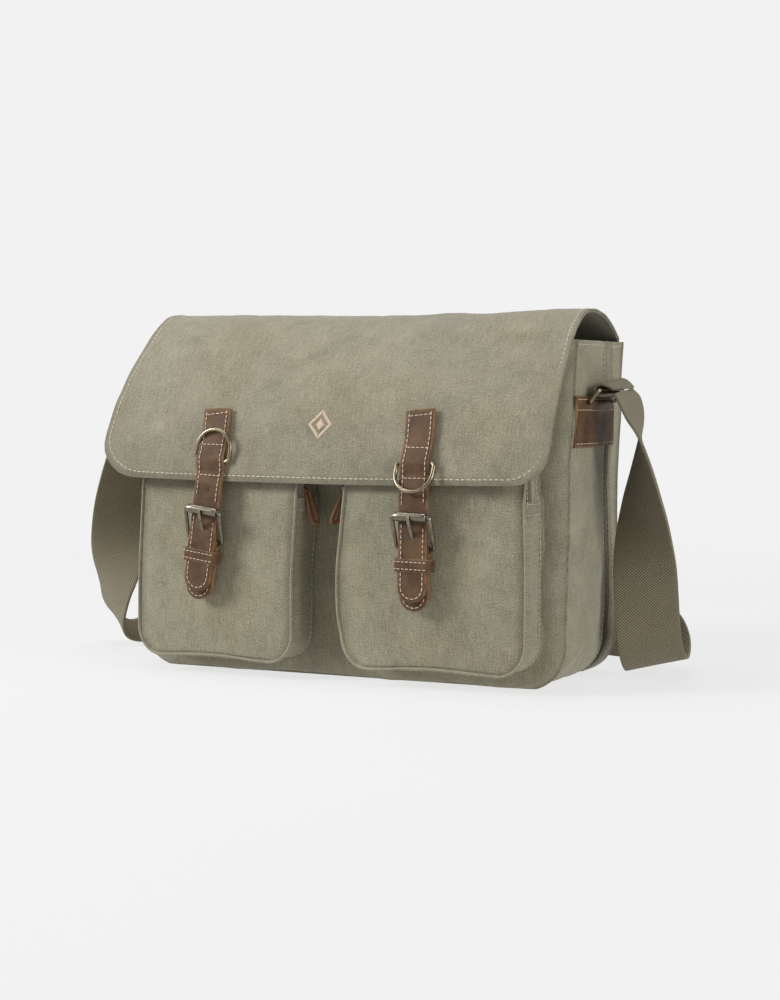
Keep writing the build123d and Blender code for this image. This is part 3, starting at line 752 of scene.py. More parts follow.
# strip that joins the flap to the back panel
ROOT_ROWS, ROOT_COLUMNS, ROOT_TOP, ROOT_HIGH = 14, 60, 273, 30
root = np.zeros((ROOT_ROWS, ROOT_COLUMNS, 3))
root[..., 0] = np.linspace(-188, 188, ROOT_COLUMNS)
for i, v in enumerate(np.linspace(0, 1, ROOT_ROWS)):
    z = ROOT_TOP - ROOT_HIGH * v
    root[i, :, 1] = back_y(np.full(ROOT_COLUMNS, min(z, TOP))) + 4.6 - 2.2 * (1 - v) ** 6 - 4.5 * (1 - v) ** 3
    root[i, :, 2] = z
root = wrinkled(root, 0.6, 40, 7.7)
patch("flap_root", root[::-1, ::-1], "bag", [CANVAS_V], thick=1.4, bevel=0.4)
for i in (-2, -4):
    sewing.line("bag", root[i, 1:-1] + vec(0, 0.3, 0), vec(0, 1, 0))


# ---- front pockets ----------------
POCKET_X = {"left": (-171.0, -25.0), "right": (19.5, 169.0)}
POCKET_LOW, POCKET_HIGH, LOW_RADIUS, HIGH_RADIUS = 16.0, 183.0, 22.0, 10.0
TAPE_Y, TAPE_END = (-94.0, -84.0), 145.0


def pocket_face_y(x, z, side):
    """Face of a pocket: turned outwards a little, crowned, and leaning back under the flap."""
    low, high = POCKET_X[side]
    across = (x - low) / (high - low) * 2 - 1
    up = (z - POCKET_LOW) / (POCKET_HIGH - POCKET_LOW)
    turned = -104.5 + 8.5 * np.clip(np.abs(x) - 10, 0, None) / 160
    upright = np.clip(np.sin(np.pi * np.clip(up * 0.92 + 0.06, 0, 1)), 0, 1) ** 0.6
    crown = 5.0 * np.clip(1 - across**2, 0, 1) ** 0.8 * upright
    lean = 9.5 * np.clip((z - 150) / 33, 0, 1) ** 1.3
    return turned - crown * 0.75 + lean


def rounded_outline(x0, x1, z0, z1, low, high, count):
    """Closed line of (x, z) round a rectangle with rounded corners, anticlockwise seen from the front."""
    parts = []
    for cx, cz, r, start in ((x1 - low, z0 + low, low, -90), (x1 - high, z1 - high, high, 0),
                             (x0 + high, z1 - high, high, 90), (x0 + low, z0 + low, low, 180)):
        turn = np.radians(np.linspace(start, start + 90, 12))
        parts.append(np.stack([cx + r * np.cos(turn), cz + r * np.sin(turn)], 1))
    return resample(np.vstack(parts), count, closed=True)


# (height, shift in x) of each pocket's left edge and of its right edge
POCKET_TAPER = {"left": ([(0, 0), (56, 0), (94, 1.2), (133, 3.6), (183, 6.5)],
                         [(0, -1), (80, -1), (105, 0.5), (155, 3.5), (183, 4.5)]),
                "right": ([(0, 3), (34, 2), (58, -2), (90, -2.5), (122, 0.8), (155, 4.4), (183, 8)],
                          [(0, 0), (90, 0.8), (183, -1.5)])}


def tapered(side, x, z):
    """Moves the upright edges of a pocket in or out with height."""
    x0, x1 = POCKET_X[side]
    t = (x - x0) / (x1 - x0)
    low, high = POCKET_TAPER[side]
    return x + (1 - t) * curve(low, z) + t * curve(high, z)


def make_pocket(side):
    x0, x1 = POCKET_X[side]
    rows, columns = 90, 84
    z = np.linspace(POCKET_LOW, POCKET_HIGH, rows)
    under = POCKET_LOW + LOW_RADIUS - z
    cut = np.where(under > 0, LOW_RADIUS - np.sqrt(np.clip(LOW_RADIUS**2 - under**2, 0, None)), 0)
    over = np.clip(z - (POCKET_HIGH - HIGH_RADIUS), 0, HIGH_RADIUS)
    cut = cut + HIGH_RADIUS - np.sqrt(HIGH_RADIUS**2 - over**2)
    s = closer_at_ends(columns, 0.9)
    middle, half = (x0 + x1) / 2, (x1 - x0) / 2 - cut
    X = middle + half[:, None] * s
    Z = np.repeat(z[:, None], columns, 1)
    face = np.stack([tapered(side, X, Z), pocket_face_y(X, Z, side), Z], -1)
    seed = 11.0 if side == "left" else 17.0
    face = wrinkled(wrinkled(face, 1.8, 50, seed, (1, 1, 1.5), fade=12), 0.6, 16, seed, fade=9)
    face[..., 2] -= 1.5 * np.clip((60 - Z) / 40, 0, 1) * np.cos((X - x0) / 23.0)
    patch(f"{side}_pocket_face", face, "bag", [CANVAS_V], thick=1.6,
          replaces=(f"{side}_pocket_front",))

    outline = rounded_outline(x0, x1, POCKET_LOW, POCKET_HIGH, LOW_RADIUS, HIGH_RADIUS, 220)
    along = unit(np.roll(outline, -1, 0) - np.roll(outline, 1, 0))
    out = np.stack([along[:, 1], -along[:, 0]], 1)
    v = np.linspace(0, 1, 26)
    band = np.zeros((len(outline), len(v), 3))
    for i, ((x, z1), (nx, nz)) in enumerate(zip(outline, out)):
        start = pocket_face_y(x, z1, side)
        end = float(seam_y(z1)) - 7.6
        y = start + (end - start) * v
        x = float(tapered(side, x, z1))
        lift = 1.1 * np.exp(-(v / 0.05) ** 2) - 0.8 * np.exp(-((v - 0.16) / 0.1) ** 2)
        flare = 6.0 if nx > 0 and z1 < 150 else 3.4
        lift = lift + 0.9 * np.sin(np.pi * v) + 2.4 * np.clip((v - 0.84) / 0.16, 0, 1) ** 2
        lift = lift + (flare - 2.4) * v**1.3 * abs(nx)
        band[i] = np.stack([x + nx * lift, y, z1 + nz * lift], 1)
    band = wrinkled(band, 1.6, 30, seed + 3, fade=8)
    band[..., 2] -= 1.5 * np.clip((60 - band[..., 2]) / 40, 0, 1) * np.cos((band[..., 0] - x0) / 23.0) * (1 - v)
    patch(f"{side}_pocket_side", band, "bag", [CANVAS_H], thick=1.4, closed=True, bevel=0.4,
          replaces=(f"{side}_pocket_gusset",), edges="lr")
    ridge = np.stack([band[:, 0, 0] + out[:, 0] * 0.1, band[:, 0, 1] - 0.3, band[:, 0, 2] + out[:, 1] * 0.1], 1)
    tube(f"{side}_pocket_seam", ridge, 1.25, "bag", CANVAS_H, sides=8)
    below = outline[:, 1] < POCKET_HIGH - 4
    order = np.roll(np.arange(len(outline)), len(outline) // 2 - int(np.argmin(outline[:, 1])))
    order = order[below[order]]
    sewing.line("bag", *on_grid(band, order, 21, 0.3), length=3.0, gap=1.2, radius=0.34)

    # zip over the top of the gusset, from one side's tab to the other's
    arch = np.roll(np.arange(len(outline)), -int(np.argmin(outline[:, 1])))
    arch = arch[outline[arch, 1] > TAPE_END - 6]
    arch_x = tapered(side, outline[arch, 0], outline[arch, 1])
    strip = np.zeros((len(arch), 9, 3))
    for k, y in enumerate(np.linspace(TAPE_Y[0], TAPE_Y[1], 9)):
        shape = 1.9 + 0.5 * math.cos(k / 8 * 2 * math.pi)
        strip[:, k] = np.stack([arch_x + out[arch, 0] * shape, np.full(len(arch), y),
                                outline[arch, 1] + out[arch, 1] * shape], 1)
    patch(f"{side}_pocket_tape", strip, "bag", [TAPE], thick=0.8, bevel=0.25,
          replaces=(f"{side}_pocket_zip_tape",))
    normals = np.stack([out[arch, 0], 0 * arch, out[arch, 1]], 1)
    for offset in (-1.3, 1.3):
        both = resample(np.hstack([strip[:, 4] + vec(0, offset, 0) + normals * 0.5, normals]), step=1.5)
        for p in both:
            teeth.add("bag", p[:3] - vec(0, 1.3, 0), p[:3] + vec(0, 1.3, 0), unit(p[3:]), 0.45, 0.15)
    for k, offset in ((0, -0.8), (8, 0.8)):
        sewing.line("bag", strip[:, k] + normals * 0.3 + vec(0, offset, 0), normals, length=2.6, gap=1.2,
                    radius=0.3)
    make_pocket_tabs(side)


TAB_LOW, TAB_MIDDLE, TAB_HIGH = 134.5, 141.0, 147.0


def make_pocket_tabs(side):
    """Folded canvas tab that closes each end of the zip."""
    rows, columns = 12, 16
    for end, (x, outward) in enumerate(zip(POCKET_X[side], (-1, 1))):
        x = float(tapered(side, x, TAB_MIDDLE))
        front_y = float(pocket_face_y(x, TAB_MIDDLE, side)) - 0.5
        y = np.linspace(front_y, float(seam_y(TAB_MIDDLE)) - 6.5, columns)
        P = np.zeros((rows, columns, 3))
        for i, z in enumerate(np.linspace(TAB_LOW, TAB_HIGH, rows)):
            swell = 2.6 + 0.5 * math.sin(math.pi * i / (rows - 1)) + 2.0 * np.clip((y + 72) / 8, 0, 1)
            swell = swell - 2.0 * np.clip((front_y + 3 - y) / 3, 0, 1)
            P[i] = np.stack([x + outward * swell, y, np.full(columns, z)], 1)
        if outward < 0:
            P = P[:, ::-1]
        patch(f"{side}_zip_tab_{'ab'[end]}", P, "bag", [CANVAS_H], thick=1.8, bevel=0.5,
              replaces=(f"{side}_pocket_zip_tabs",) if end else ())
        for i in (2, 9):
            sewing.line("bag", P[i, 1:-1] + vec(outward * 0.3, 0, 0), vec(outward, 0, 0), length=2.6, gap=1.0,
                        radius=0.32)


for side in SIDES:
    make_pocket(side)


# ---- leather straps, rings and buckles ----------------
HINGE_S, HINGE_N = -13.0, 1.9          # the closure's hinge in its own frame, as in the CAD
ROLLER_S, ROLLER_N, HEEL_S, HEEL_N = -25.0, 5.6, -50.0, -4.8
STRAP_WIDE, STRAP_THICK, STRAP_TOP_Z, STRAP_END = 24.0, 3.4, 214.5, -91.0
TAB_HALF, TAB_THICK, TAB_END = 11.8, 5.0, -98.0
STATIONS = 150


class Hang:
    """Frame of a hanging strap: across, up the strap, and out of its face."""

    def __init__(self, side):
        joint = JOINTS[f"{side}_closure_lift"]
        self.across = -vec(*joint["axis"])
        self.out = vec(0, -1, 0)
        self.up = np.cross(self.out, self.across)
        self.origin = vec(*joint["pos_m"]) / MM - self.up * HINGE_S - self.out * HINGE_N

    def at(self, a, s, n):
        a, s, n = np.broadcast_arrays(a, s, n)
        return self.origin + a[..., None] * self.across + s[..., None] * self.up + n[..., None] * self.out


def leather_strap(name, centre, across, out, widths, body, thick=STRAP_THICK, replaces=(), crown=0.5):
    """Flat strap along a line; widths is half the width at each station. Gives its grid of points."""
    columns = 15
    c = np.linspace(-1, 1, columns)
    shape = np.sign(c) * (1 - (1 - np.abs(c)) ** 1.35)
    P = np.zeros((len(centre), columns, 3))
    for i in range(len(centre)):
        P[i] = centre[i] + across[i] * (shape * widths[i])[:, None] + out[i] * (crown * (1 - shape**4))[:, None]
    bent = np.dot(np.cross(P[1, 1] - P[1, 0], P[2, 0] - P[1, 0]), out[1]) < 0
    if bent:
        P = P[:, ::-1]
    patch(name, P, body, [LEATHER, LEATHER_EDGE], thick=thick, bevel=0.7, replaces=replaces)
    return P


def stitched_edges(key, P, inset, rows):
    """Stitches down both long edges of a strap, along the given rows."""
    n = grid_normals(P)
    wide = np.linalg.norm(P[:, -1] - P[:, 0], axis=1)
    share = np.clip(inset / np.maximum(wide, 2 * inset + 0.1), 0, 0.49)
    for s in (share, 1 - share):
        line = P[:, 0] * (1 - s)[:, None] + P[:, -1] * s[:, None]
        middle = n[:, P.shape[1] // 2]
        drop = np.abs(np.einsum("ij,ij->i", P[:, P.shape[1] // 2] - (P[:, 0] + P[:, -1]) / 2, middle))
        leather_sewing.line(key, (line + middle * (drop * 0.9 + 0.3)[:, None])[rows], middle[rows],
                            length=3.0, gap=1.1, radius=0.4)


def tip_widths(s, end, half):
    """Half width of a strap whose lower end is rounded."""
    radius = half * 0.98
    near = np.clip(end + radius - s, 0, radius)
    return half - radius + np.sqrt(np.clip(radius**2 - near**2, 0.04, None))


def stitched_tail(side, h, n, inset, start, end, half):
    """Stitches down one edge of a hanging strap, round its tip and up the other edge."""
    r = half - inset
    middle = end + half
    turn = np.linspace(np.pi, 2 * np.pi, 24)
    tip = [(r * math.cos(w), middle + r * math.sin(w)) for w in turn]
    line = resample([(-r, start), (-r, middle), *tip, (r, middle), (r, start)], step=1.0)
    leather_sewing.line(f"{side}_closure", h.at(line[:, 0], line[:, 1], n), h.out, length=3.0, gap=1.1,
                        radius=0.4)


def make_closure(side):
    h = Hang(side)
    body = f"{side}_closure"
    hinge = h.at(0.0, HINGE_S, 0.0)
    bend = ("flap_front", body, tuple(hinge + vec(0, 0, 5)), tuple(hinge - vec(0, 0, 5)))
    # one strap: sewn up the flap, over its edge, and down to the rounded tail
    stations, outs = [], []
    for z in np.linspace(STRAP_TOP_Z, 165, 26):
        x = h.origin[0] - 2.0 * np.clip((z - 190) / 24, 0, 1) ** 2
        p, n = flap_at(x, z)
        bump = 2.0 * math.exp(-((z - 175.0) / 6.0) ** 2)
        stations.append(p + n * (STRAP_THICK + 0.35 + bump))
        outs.append(n)
    for s in np.linspace(-3, STRAP_END, 46):
        stations.append(h.at(0.0, s, STRAP_THICK / 2))
        outs.append(h.out)
    centre = spline(np.array(stations), STATIONS)
    along = unit(np.gradient(centre, axis=0))
    out = square_to(unit(resample(np.array(outs), STATIONS)), along)
    across = np.cross(along, out)
    tip = 11.6      # radius of the rounded end
    near = np.clip(tip - np.linalg.norm(centre - centre[-1], axis=1), 0, tip)
    widths = np.minimum(STRAP_WIDE / 2, np.sqrt(np.clip(tip**2 - near**2, 0.5, None)) + 0.4)
    P = leather_strap(f"{side}_strap", centre, across, out, widths, bend,
                      replaces=(f"{side}_strap_top", f"{side}_closure_strap"))
    BODIES[f"{side}_strap"] = bend
    BODIES[body] = body
    stitched_edges(f"{side}_strap", P, 3.0, slice(3, 78))
    stitched_tail(side, h, STRAP_THICK / 2 + 0.62, 2.9, -31.0, STRAP_END, STRAP_WIDE / 2)
    for z in (187.5, 163.5, 211.5):
        row = int(np.argmin(np.abs(centre[:, 2] - z)))
        leather_sewing.line(f"{side}_strap", *on_grid(P, row, slice(2, -2), 0.3), length=2.8, gap=1.0,
                            radius=0.4)
    eyelet = h.at(0.0, -8.0, STRAP_THICK / 2 + 0.55)
    ring = [eyelet + 1.5 * (h.across * math.cos(w) + h.up * math.sin(w)) for w in whole_turn(20)]
    tube(f"{side}_punched_hole", ring, 0.45, body, LEATHER, sides=8)

    # tab folded round the heel bar, behind the strap
    s = np.linspace(-54, TAB_END, 40)
    across, out = (np.repeat([a], len(s), 0) for a in (h.across, h.out))
    leather_strap(f"{side}_tab", h.at(0.0, s, -2.3), across, out, tip_widths(s, TAB_END, TAB_HALF), body,
                  thick=TAB_THICK, replaces=(f"{side}_under_tab",), crown=0.3)
    stitched_tail(side, h, -1.75, 2.6, -86.0, TAB_END, TAB_HALF)
    for lobe, (a0, a1) in (("a", (-11.9, -2.4)), ("b", (2.4, 11.9))):
        turn = np.radians(np.linspace(-90, 90, 16))
        fold = [(HEEL_S + 2.6 * math.cos(w), HEEL_N + 2.6 * math.sin(w)) for w in turn]
        profile = [(HEEL_S - 4.5, HEEL_N - 2.5), *fold, (HEEL_S - 4.5, HEEL_N + 2.5)]
        P = np.array([[h.at(a, s1, n1) for a in np.linspace(a0, a1, 6)] for s1, n1 in profile])
        patch(f"{side}_tab_fold_{lobe}", P[:, ::-1], body, [LEATHER, LEATHER_EDGE], thick=0.9,
              bevel=0.2)

    # keeper: a loop of leather round both layers
    loop = [(15.2 * np.sign(math.cos(w)) * abs(math.cos(w)) ** 0.22,
             5.7 * np.sign(math.sin(w)) * abs(math.sin(w)) ** 0.42 - 2.9) for w in whole_turn(64)]
    loop = resample(loop, 72, closed=True)
    P = np.array([[h.at(a, s1, n1) for s1 in np.linspace(-68.0, -57.0, 9)] for a, n1 in loop])
    P += grid_normals(P) * (0.25 * np.sin(np.linspace(0, np.pi, 9)))[None, :, None]
    patch(f"{side}_keeper_loop", P, body, [LEATHER, LEATHER_EDGE], thick=1.6, bevel=0.4, closed=True,
          replaces=(f"{side}_keeper",), edges="lr")
    front = sorted((i for i in range(len(loop)) if loop[i, 1] > 1.2), key=lambda i: loop[i, 0])
    for c in (2, 6):
        leather_sewing.line(body, *on_grid(P, front, c, 0.3), length=2.6, gap=1.0, radius=0.36)
    make_buckle(side, h)


def make_buckle(side, h):
    """Roller and prong; the frame is the CAD wire with an antique finish."""
    refinish(f"{side}_buckle_frame", NICKEL)
    turn = whole_turn(40)
    profile = [(-13.4, 1.9), (-13.5, 2.6), (-13.3, 3.2), (-12.7, 3.5), (-9.0, 3.62), (0, 3.66), (9.0, 3.62),
               (12.7, 3.5), (13.3, 3.2), (13.5, 2.6), (13.4, 1.9)]
    P = np.array([[h.at(a, ROLLER_S + r * math.sin(w), ROLLER_N + r * math.cos(w)) for a, r in profile]
                  for w in turn])
    seam = np.exp(-((turn - 3.9) / 0.09) ** 2)
    P -= grid_normals(P) * (seam * 0.35)[:, None, None]
    patch(f"{side}_roller_tube", P, f"{side}_roller", [NICKEL], closed=True,
          replaces=(f"{side}_buckle_roller",), edges="")
    reach = math.hypot(ROLLER_S - HEEL_S, ROLLER_N - HEEL_N)
    rest = math.atan2(ROLLER_N - HEEL_N, ROLLER_S - HEEL_S) + math.atan2(3.5 + 1.5, reach)
    axis = vec(math.cos(rest), math.sin(rest))
    side_axis = vec(-math.sin(rest), math.cos(rest))
    line = [(2.6, 0, 1.5), (7, 0.1, 1.6), (reach * 0.6, 0.5, 1.6), (reach - 3, 0.4, 1.5),
            (reach + 1.5, -0.2, 1.3), (reach + 3.4, -1.2, 0.8)]
    heel = vec(HEEL_S, HEEL_N)
    points = spline([[*h.at(0.0, *(heel + axis * d + side_axis * e)), r] for d, e, r in line], 40)
    tube(f"{side}_prong_tongue", points[:, :3], points[:, 3], f"{side}_prong", NICKEL,
         closed=False, sides=14, flat=0.85, replaces=(f"{side}_buckle_prong",))
    eye = [h.at(0.0, HEEL_S + 2.45 * math.cos(w), HEEL_N + 2.45 * math.sin(w)) for w in whole_turn(28)]
    tube(f"{side}_prong_eye", eye, 0.75, f"{side}_prong", NICKEL, sides=10)


for side in SIDES:
    make_closure(side)


# ---- side patches ----------------
PATCH_Z, PATCH_Y, TUNNEL_Z, TUNNEL_HALF = (187, 226.5), (-50.5, 39.5), 221.0, 25.5


def make_side_patch(side):
    """Leather patch on the upper gusset, raised where the side ring's loop runs under it."""
    sign = SIDES[side]
    rows, columns = 30, 60
    z = np.linspace(*PATCH_Z, rows)
    y = np.linspace(*PATCH_Y, columns)
    near = gusset[:120] if sign < 0 else gusset[120:]
    P = np.zeros((rows, columns, 3))
    for i in range(rows):
        k = int(np.argmin(np.abs(near[:, 20, 2] - z[i])))
        x = np.interp(y, near[k, :, 1], np.abs(near[k, :, 0]), right=abs(near[k, -1, 0]))
        x = np.clip(x, 189.5, None)
        tunnel = 5.2 * np.exp(-(((z[i] - TUNNEL_Z) / 4.4) ** 2))
        tunnel = tunnel * (1 / (1 + np.exp((np.abs(y) - TUNNEL_HALF) / 0.9)))
        P[i] = np.stack([sign * (x + 2.6 + tunnel), y, np.full(columns, z[i])], 1)
    if sign < 0:
        P = P[:, ::-1]
    patch(f"{side}_side_leather", P, "bag", [LEATHER, LEATHER_EDGE], thick=2.4, bevel=0.5,
          replaces=(f"{side}_side_patch",))
    for height in (189.8, 215.5, 224.3):
        row = int(np.argmin(np.abs(z - height)))
        leather_sewing.line("bag", *on_grid(P, row, slice(1, -1), 0.3), length=2.8, gap=1.1, radius=0.36)


for side in SIDES:
    make_side_patch(side)
BODIES["bag"] = "bag"


# ---- zip sliders and pulls ----------------
def make_pull(name, slider_body, pull_body, pivot, out, length, lean=0.0, turned=0.0):
    """Pressed slider with a bail, and a leather loop threaded through it."""
    facing_out = out
    refinish(f"{name}_slider", NICKEL)
    wide = unit(vec(0, 1, 0) - out * turned)
    down = unit(vec(0, 0, 1) - out * lean)
    out = np.cross(wide, down) * (1 if np.dot(np.cross(wide, down), out) > 0 else -1)
    loop = [(0, 1.9), (1.9, 1.2), (2.0, -2.5), (2.1, -length * 0.4), (3.0, -length * 0.72),
            (2.6, -length * 0.92), (0, -length)]
    right = spline(loop, 30)
    left = right[::-1] * vec(-1, 1)
    line = np.vstack([right, left[1:-1]])
    outer = np.array([pivot + wide * a + down * b for a, b in line])
    turn = np.linspace(0, 2 * np.pi, 9)
    along = unit(np.roll(outer, -1, 0) - np.roll(outer, 1, 0))
    side_dir = np.cross(along, out)
    P = np.array([[c + s * (1.9 * math.cos(w)) + out * (1.6 * math.sin(w)) for w in turn]
                  for c, s in zip(outer, side_dir)])
    patch(f"{name}_leather_pull", P, pull_body, [PULL_LEATHER], closed=True,
          replaces=(f"{name}_pull",), edges="")
    out, wide = facing_out, vec(0, 1, 0)
    root = pivot - out * 1.6 + vec(0, 0, 1.6)
    wire_line = [root + wide * 2.9 + vec(0, 0, 3), root + wide * 3.1 + out * 1.2,
                 pivot + wide * 2.6 + out * 1.6 - vec(0, 0, 1.8),
                 pivot + out * 1.9 - vec(0, 0, 2.6), pivot - wide * 2.6 + out * 1.6 - vec(0, 0, 1.8),
                 root - wide * 3.1 + out * 1.2, root - wide * 2.9 + vec(0, 0, 3)]
    tube(f"{name}_bail", spline(wire_line, 40), 0.6, slider_body, NICKEL, closed=False,
         sides=8)


for name, slider, pull, length in (("left_zip", "left_zip_slider", "left_zip_pull", 30.0),
                                   ("right_zip", "right_zip_slider", "right_zip_pull", 30.0),
                                   ("expansion", "expansion_slider", "expansion_pull", 26.0)):
    joint = JOINTS["expansion_pull_swing" if name == "expansion" else f"{name}_pull_swing"]
    facing = {"left_zip": 1.0, "right_zip": -1.0, "expansion": -1.0}[name]
    lean, turned = {"left_zip": (0.30, -0.8), "right_zip": (0.38, 0.8), "expansion": (0.04, 0.0)}[name]
    make_pull(name, slider, pull, vec(*joint["pos_m"]) / MM, vec(facing, 0, 0), length, lean, turned)


# ---- shoulder strap ----------------
# (point, direction across the webbing) along the strap, from the right ring to the left ring
STRAP = [((214, 0, 230), (0, -1, 0)), ((219.5, 1, 222), (0, -1, -0.08)), ((223.5, 3, 210), (0.06, -1, 0)),
         ((227, 5, 193), (0.31, -0.95, 0)), ((228, 8, 165), (0.62, -0.78, 0)),
         ((227.5, 11, 138), (0.82, -0.5, 0)), ((227.5, 13, 112), (0.95, -0.2, 0)),
         ((228, 16, 85), (0.97, 0.15, 0)), ((228.5, 19, 62), (0.93, 0.33, 0.02)),
         ((229, 22, 42), (0.91, 0.4, 0.05)), ((229, 29, 24), (0.9, 0.36, 0.1)),
         ((229, 41, 12), (0.9, 0.34, 0.16)), ((228, 57, 11.5), (0.87, 0.32, 0.3)),
         ((225, 76, 18.5), (0.72, 0.3, 0.6)), ((218, 94, 25.5), (0.42, 0.2, 0.88)),
         ((204, 110, 28), (0.1, 0.05, 1)), ((180, 124, 28), (0, 0, 1)), ((150, 133, 28.5), (0, 0, 1)),
         ((120, 139, 29), (0, 0, 1)), ((60, 146, 32), (0, 0, 1)), ((-60, 146, 32), (0, 0, 1)),
         ((-120, 139, 29), (0, 0, 1)), ((-175, 122, 28.5), (0, 0, 1)),
         ((-207, 101, 28.5), (-0.12, 0.2, 0.97)), ((-230, 79, 24.5), (-0.35, 0.5, 0.78)),
         ((-250, 58, 15.5), (-0.5, 0.72, 0.45)), ((-265, 42, 11.5), (-0.6, 0.74, 0.25)),
         ((-274, 31, 18), (-0.65, 0.7, 0.28)), ((-277, 24, 34), (-0.8, 0.55, 0.2)),
         ((-274, 20, 53), (-0.9, 0.38, 0.12)), ((-269, 16, 75), (-0.95, 0.0, 0.05)),
         ((-264, 13, 100), (-0.92, -0.38, 0)), ((-256, 8, 130), (-0.8, -0.6, 0)),
         ((-243, 3, 165), (-0.65, -0.76, 0)), ((-232, 1, 196), (-0.35, -0.93, 0)),
         ((-222, 1, 219), (-0.05, -1, 0)), ((-214, 0, 230), (0, -1, 0))]


WEBBING_WIDE, FOLD_HALF = 51.0, 25.4


def ribbon_grid(stations, count, columns, wide):
    """Face of a ribbon along (point, direction across) stations."""
    both = spline([list(c) + [v * 60 for v in w] for c, w in stations], count)
    centre, across = both[:, :3], both[:, 3:]
    across = square_to(across, unit(np.gradient(centre, axis=0)))
    c = np.linspace(-1, 1, columns)
    return np.array([m + a * (c * wide / 2)[:, None] for m, a in zip(centre, across)])


def make_shoulder_strap():
    P = ribbon_grid(STRAP, 420, 13, WEBBING_WIDE)
    P += grid_normals(P) * 1.3
    P = above_floor(P, 0.6)
    obj = patch("webbing_strap", P, "shoulder_strap", [WEBBING], thick=2.4, bevel=0.5,
                replaces=("shoulder_strap",), edges="lr")
    round(float(length_of(P[:, 6]) * MM), 3)
    refinish("strap_adjuster", NICKEL)


def make_strap_end(side):
    """Webbing folded round the far bar of the side ring and sewn to itself."""
    sign = SIDES[side]
    profile = spline([(213.9, 231.7), (209.5, 235.0), (204.5, 236.8), (201.0, 235.2), (199.8, 231.4),
                      (201.6, 228.2), (206, 227.6), (213.6, 228.4)], 60)
    y = np.linspace(-FOLD_HALF, FOLD_HALF, 12)
    P = np.array([[vec(sign * a, v, b + (v / FOLD_HALF) * 2.2 * np.clip((b - 230) / 6, 0, 1)) for v in y]
                  for a, b in profile])
    if sign > 0:
        P = P[:, ::-1]
    obj = patch(f"{side}_webbing_end", P, "bag", [WEBBING], thick=1.8,
                replaces=(f"{side}_strap_end",), edges="lr")
    round(float(length_of(P[:, 6]) * MM), 3)


make_shoulder_strap()
for side in SIDES:
    make_strap_end(side)

# ---- CAD pieces that stay, with finishes ----------------
FINISH = {"lining": LINING, "base_board": BOARD}
for side in SIDES:
    FINISH.update({f"{side}_front_ring": BRASS, f"{side}_side_ring": BRASS, f"{side}_snap_stud": BRASS,
                   f"{side}_snap_socket": BRASS})
for node, material in FINISH.items():
    refinish(node, material)

sewing.build("stitches", BODIES, "canvas", CREAM)
leather_sewing.build("leather_stitches", BODIES, "leather", BLUSH)
teeth.build("zip_teeth", BODIES, "zip_tape", COIL)


# ---- floor, light and camera ----------------
FLOOR_GLOW, BACKDROP, WORLD_LIGHT = 0.722, 0.888, 0.25
LIGHTS = [("key", (-1.85, -1.45, 1.35), 0.8, 68), ("fill", (2.5, -0.6, 0.9), 1.2, 37),
          ("top", (-0.4, 0.0, 2.7), 1.6, 40)]


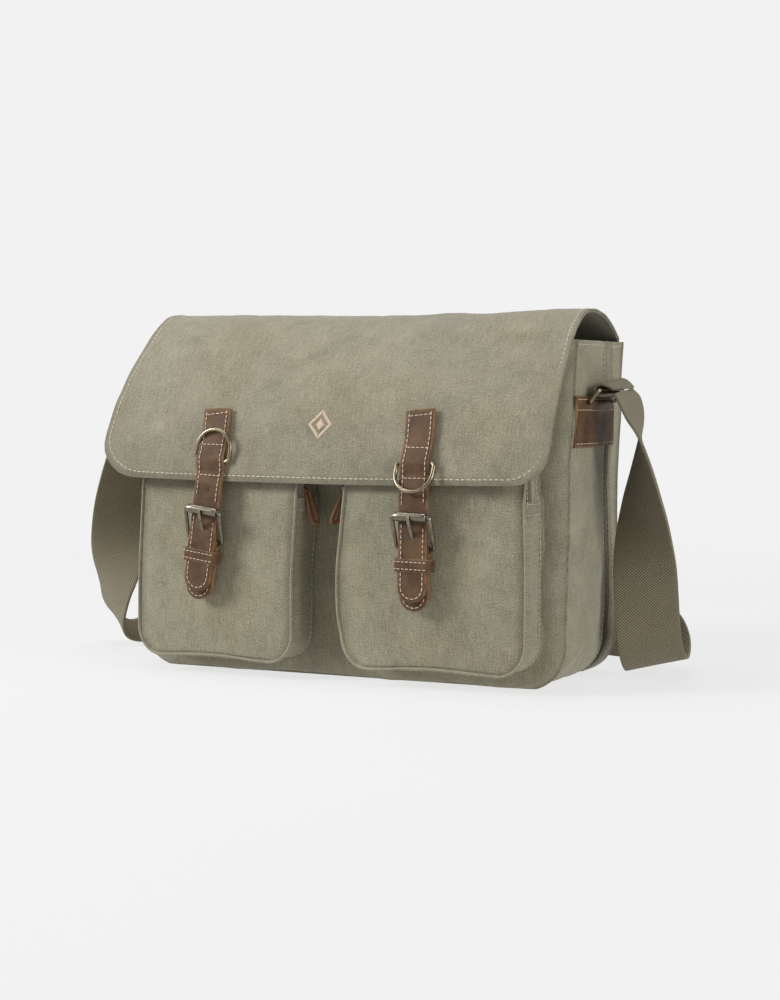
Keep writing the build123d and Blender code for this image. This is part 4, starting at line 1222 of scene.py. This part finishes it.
def make_studio():
    """Pale floor that fades into an even backdrop, and three soft lamps."""
    mesh = bpy.data.meshes.new("studio_floor")
    far = 60.0
    mesh.from_pydata([(-far, -far, 0), (far, -far, 0), (far, far, 0), (-far, far, 0)], [], [(0, 1, 2, 3)])
    floor = new_object("studio_floor", mesh)
    m = Nodes("pale_floor")
    tone = m.noise(m.place(), 3, 2)
    pale = m.mix(tone, (0.12, 0.12, 0.12, 1), (0.13, 0.13, 0.13, 1))
    m.fixed({"Roughness": 1.0, "Specular IOR Level": 0.0, "Emission Color": (1, 1, 1, 1)})
    distance = m.node("ShaderNodeVectorMath", operation="LENGTH")
    m.link(m.place(), distance.inputs[0])
    away = m.span(distance.outputs["Value"], 0.45, 1.5)
    m.put(m.shader.inputs["Emission Strength"], m.span(away, 0, 1, FLOOR_GLOW, BACKDROP))
    m.link(m.mix(away, pale, (0, 0, 0, 1)), m.shader.inputs["Base Color"])
    mesh.materials.append(m.material)

    world = bpy.data.worlds.new("studio")
    world.use_nodes = True
    tree = world.node_tree
    soft = tree.nodes["Background"]
    soft.inputs[0].default_value = (1, 1, 1, 1)
    soft.inputs[1].default_value = WORLD_LIGHT
    seen = tree.nodes.new("ShaderNodeBackground")
    seen.inputs[0].default_value = (BACKDROP, BACKDROP, BACKDROP, 1)
    choice = tree.nodes.new("ShaderNodeMixShader")
    path = tree.nodes.new("ShaderNodeLightPath")
    tree.links.new(path.outputs["Is Camera Ray"], choice.inputs[0])
    tree.links.new(soft.outputs[0], choice.inputs[1])
    tree.links.new(seen.outputs[0], choice.inputs[2])
    tree.links.new(choice.outputs[0], tree.nodes["World Output"].inputs[0])
    bpy.context.scene.world = world
    for name, at, size, power in LIGHTS:
        light = bpy.data.lights.new(name, "AREA")
        light.size, light.energy = size, power
        obj = bpy.data.objects.new(name, light)
        obj.location = at
        obj.rotation_euler = (Vector((0, 0, 0.15)) - Vector(at)).to_track_quat("-Z", "Y").to_euler()
        bpy.context.scene.collection.objects.link(obj)


CAMERA_YAW, CAMERA_PITCH, CAMERA_FAR, CAMERA_LENS = 25.5, 3.2, 1.59, 68.9      # degrees, metres, mm
CAMERA_AIM = (0.012, 0, 0.140)


def make_camera():
    yaw, pitch = math.radians(CAMERA_YAW), math.radians(CAMERA_PITCH)
    back = Vector((math.sin(yaw) * math.cos(pitch), -math.cos(yaw) * math.cos(pitch), math.sin(pitch)))
    camera = bpy.data.cameras.new("camera")
    camera.sensor_width, camera.lens = 36.0, CAMERA_LENS
    obj = bpy.data.objects.new("camera", camera)
    obj.location = Vector(CAMERA_AIM) + back * CAMERA_FAR
    obj.rotation_euler = (-back).to_track_quat("-Z", "Y").to_euler()
    bpy.context.scene.collection.objects.link(obj)
    bpy.context.scene.camera = obj


make_studio()
make_camera()
bpy.context.scene.view_settings.view_transform = "Standard"
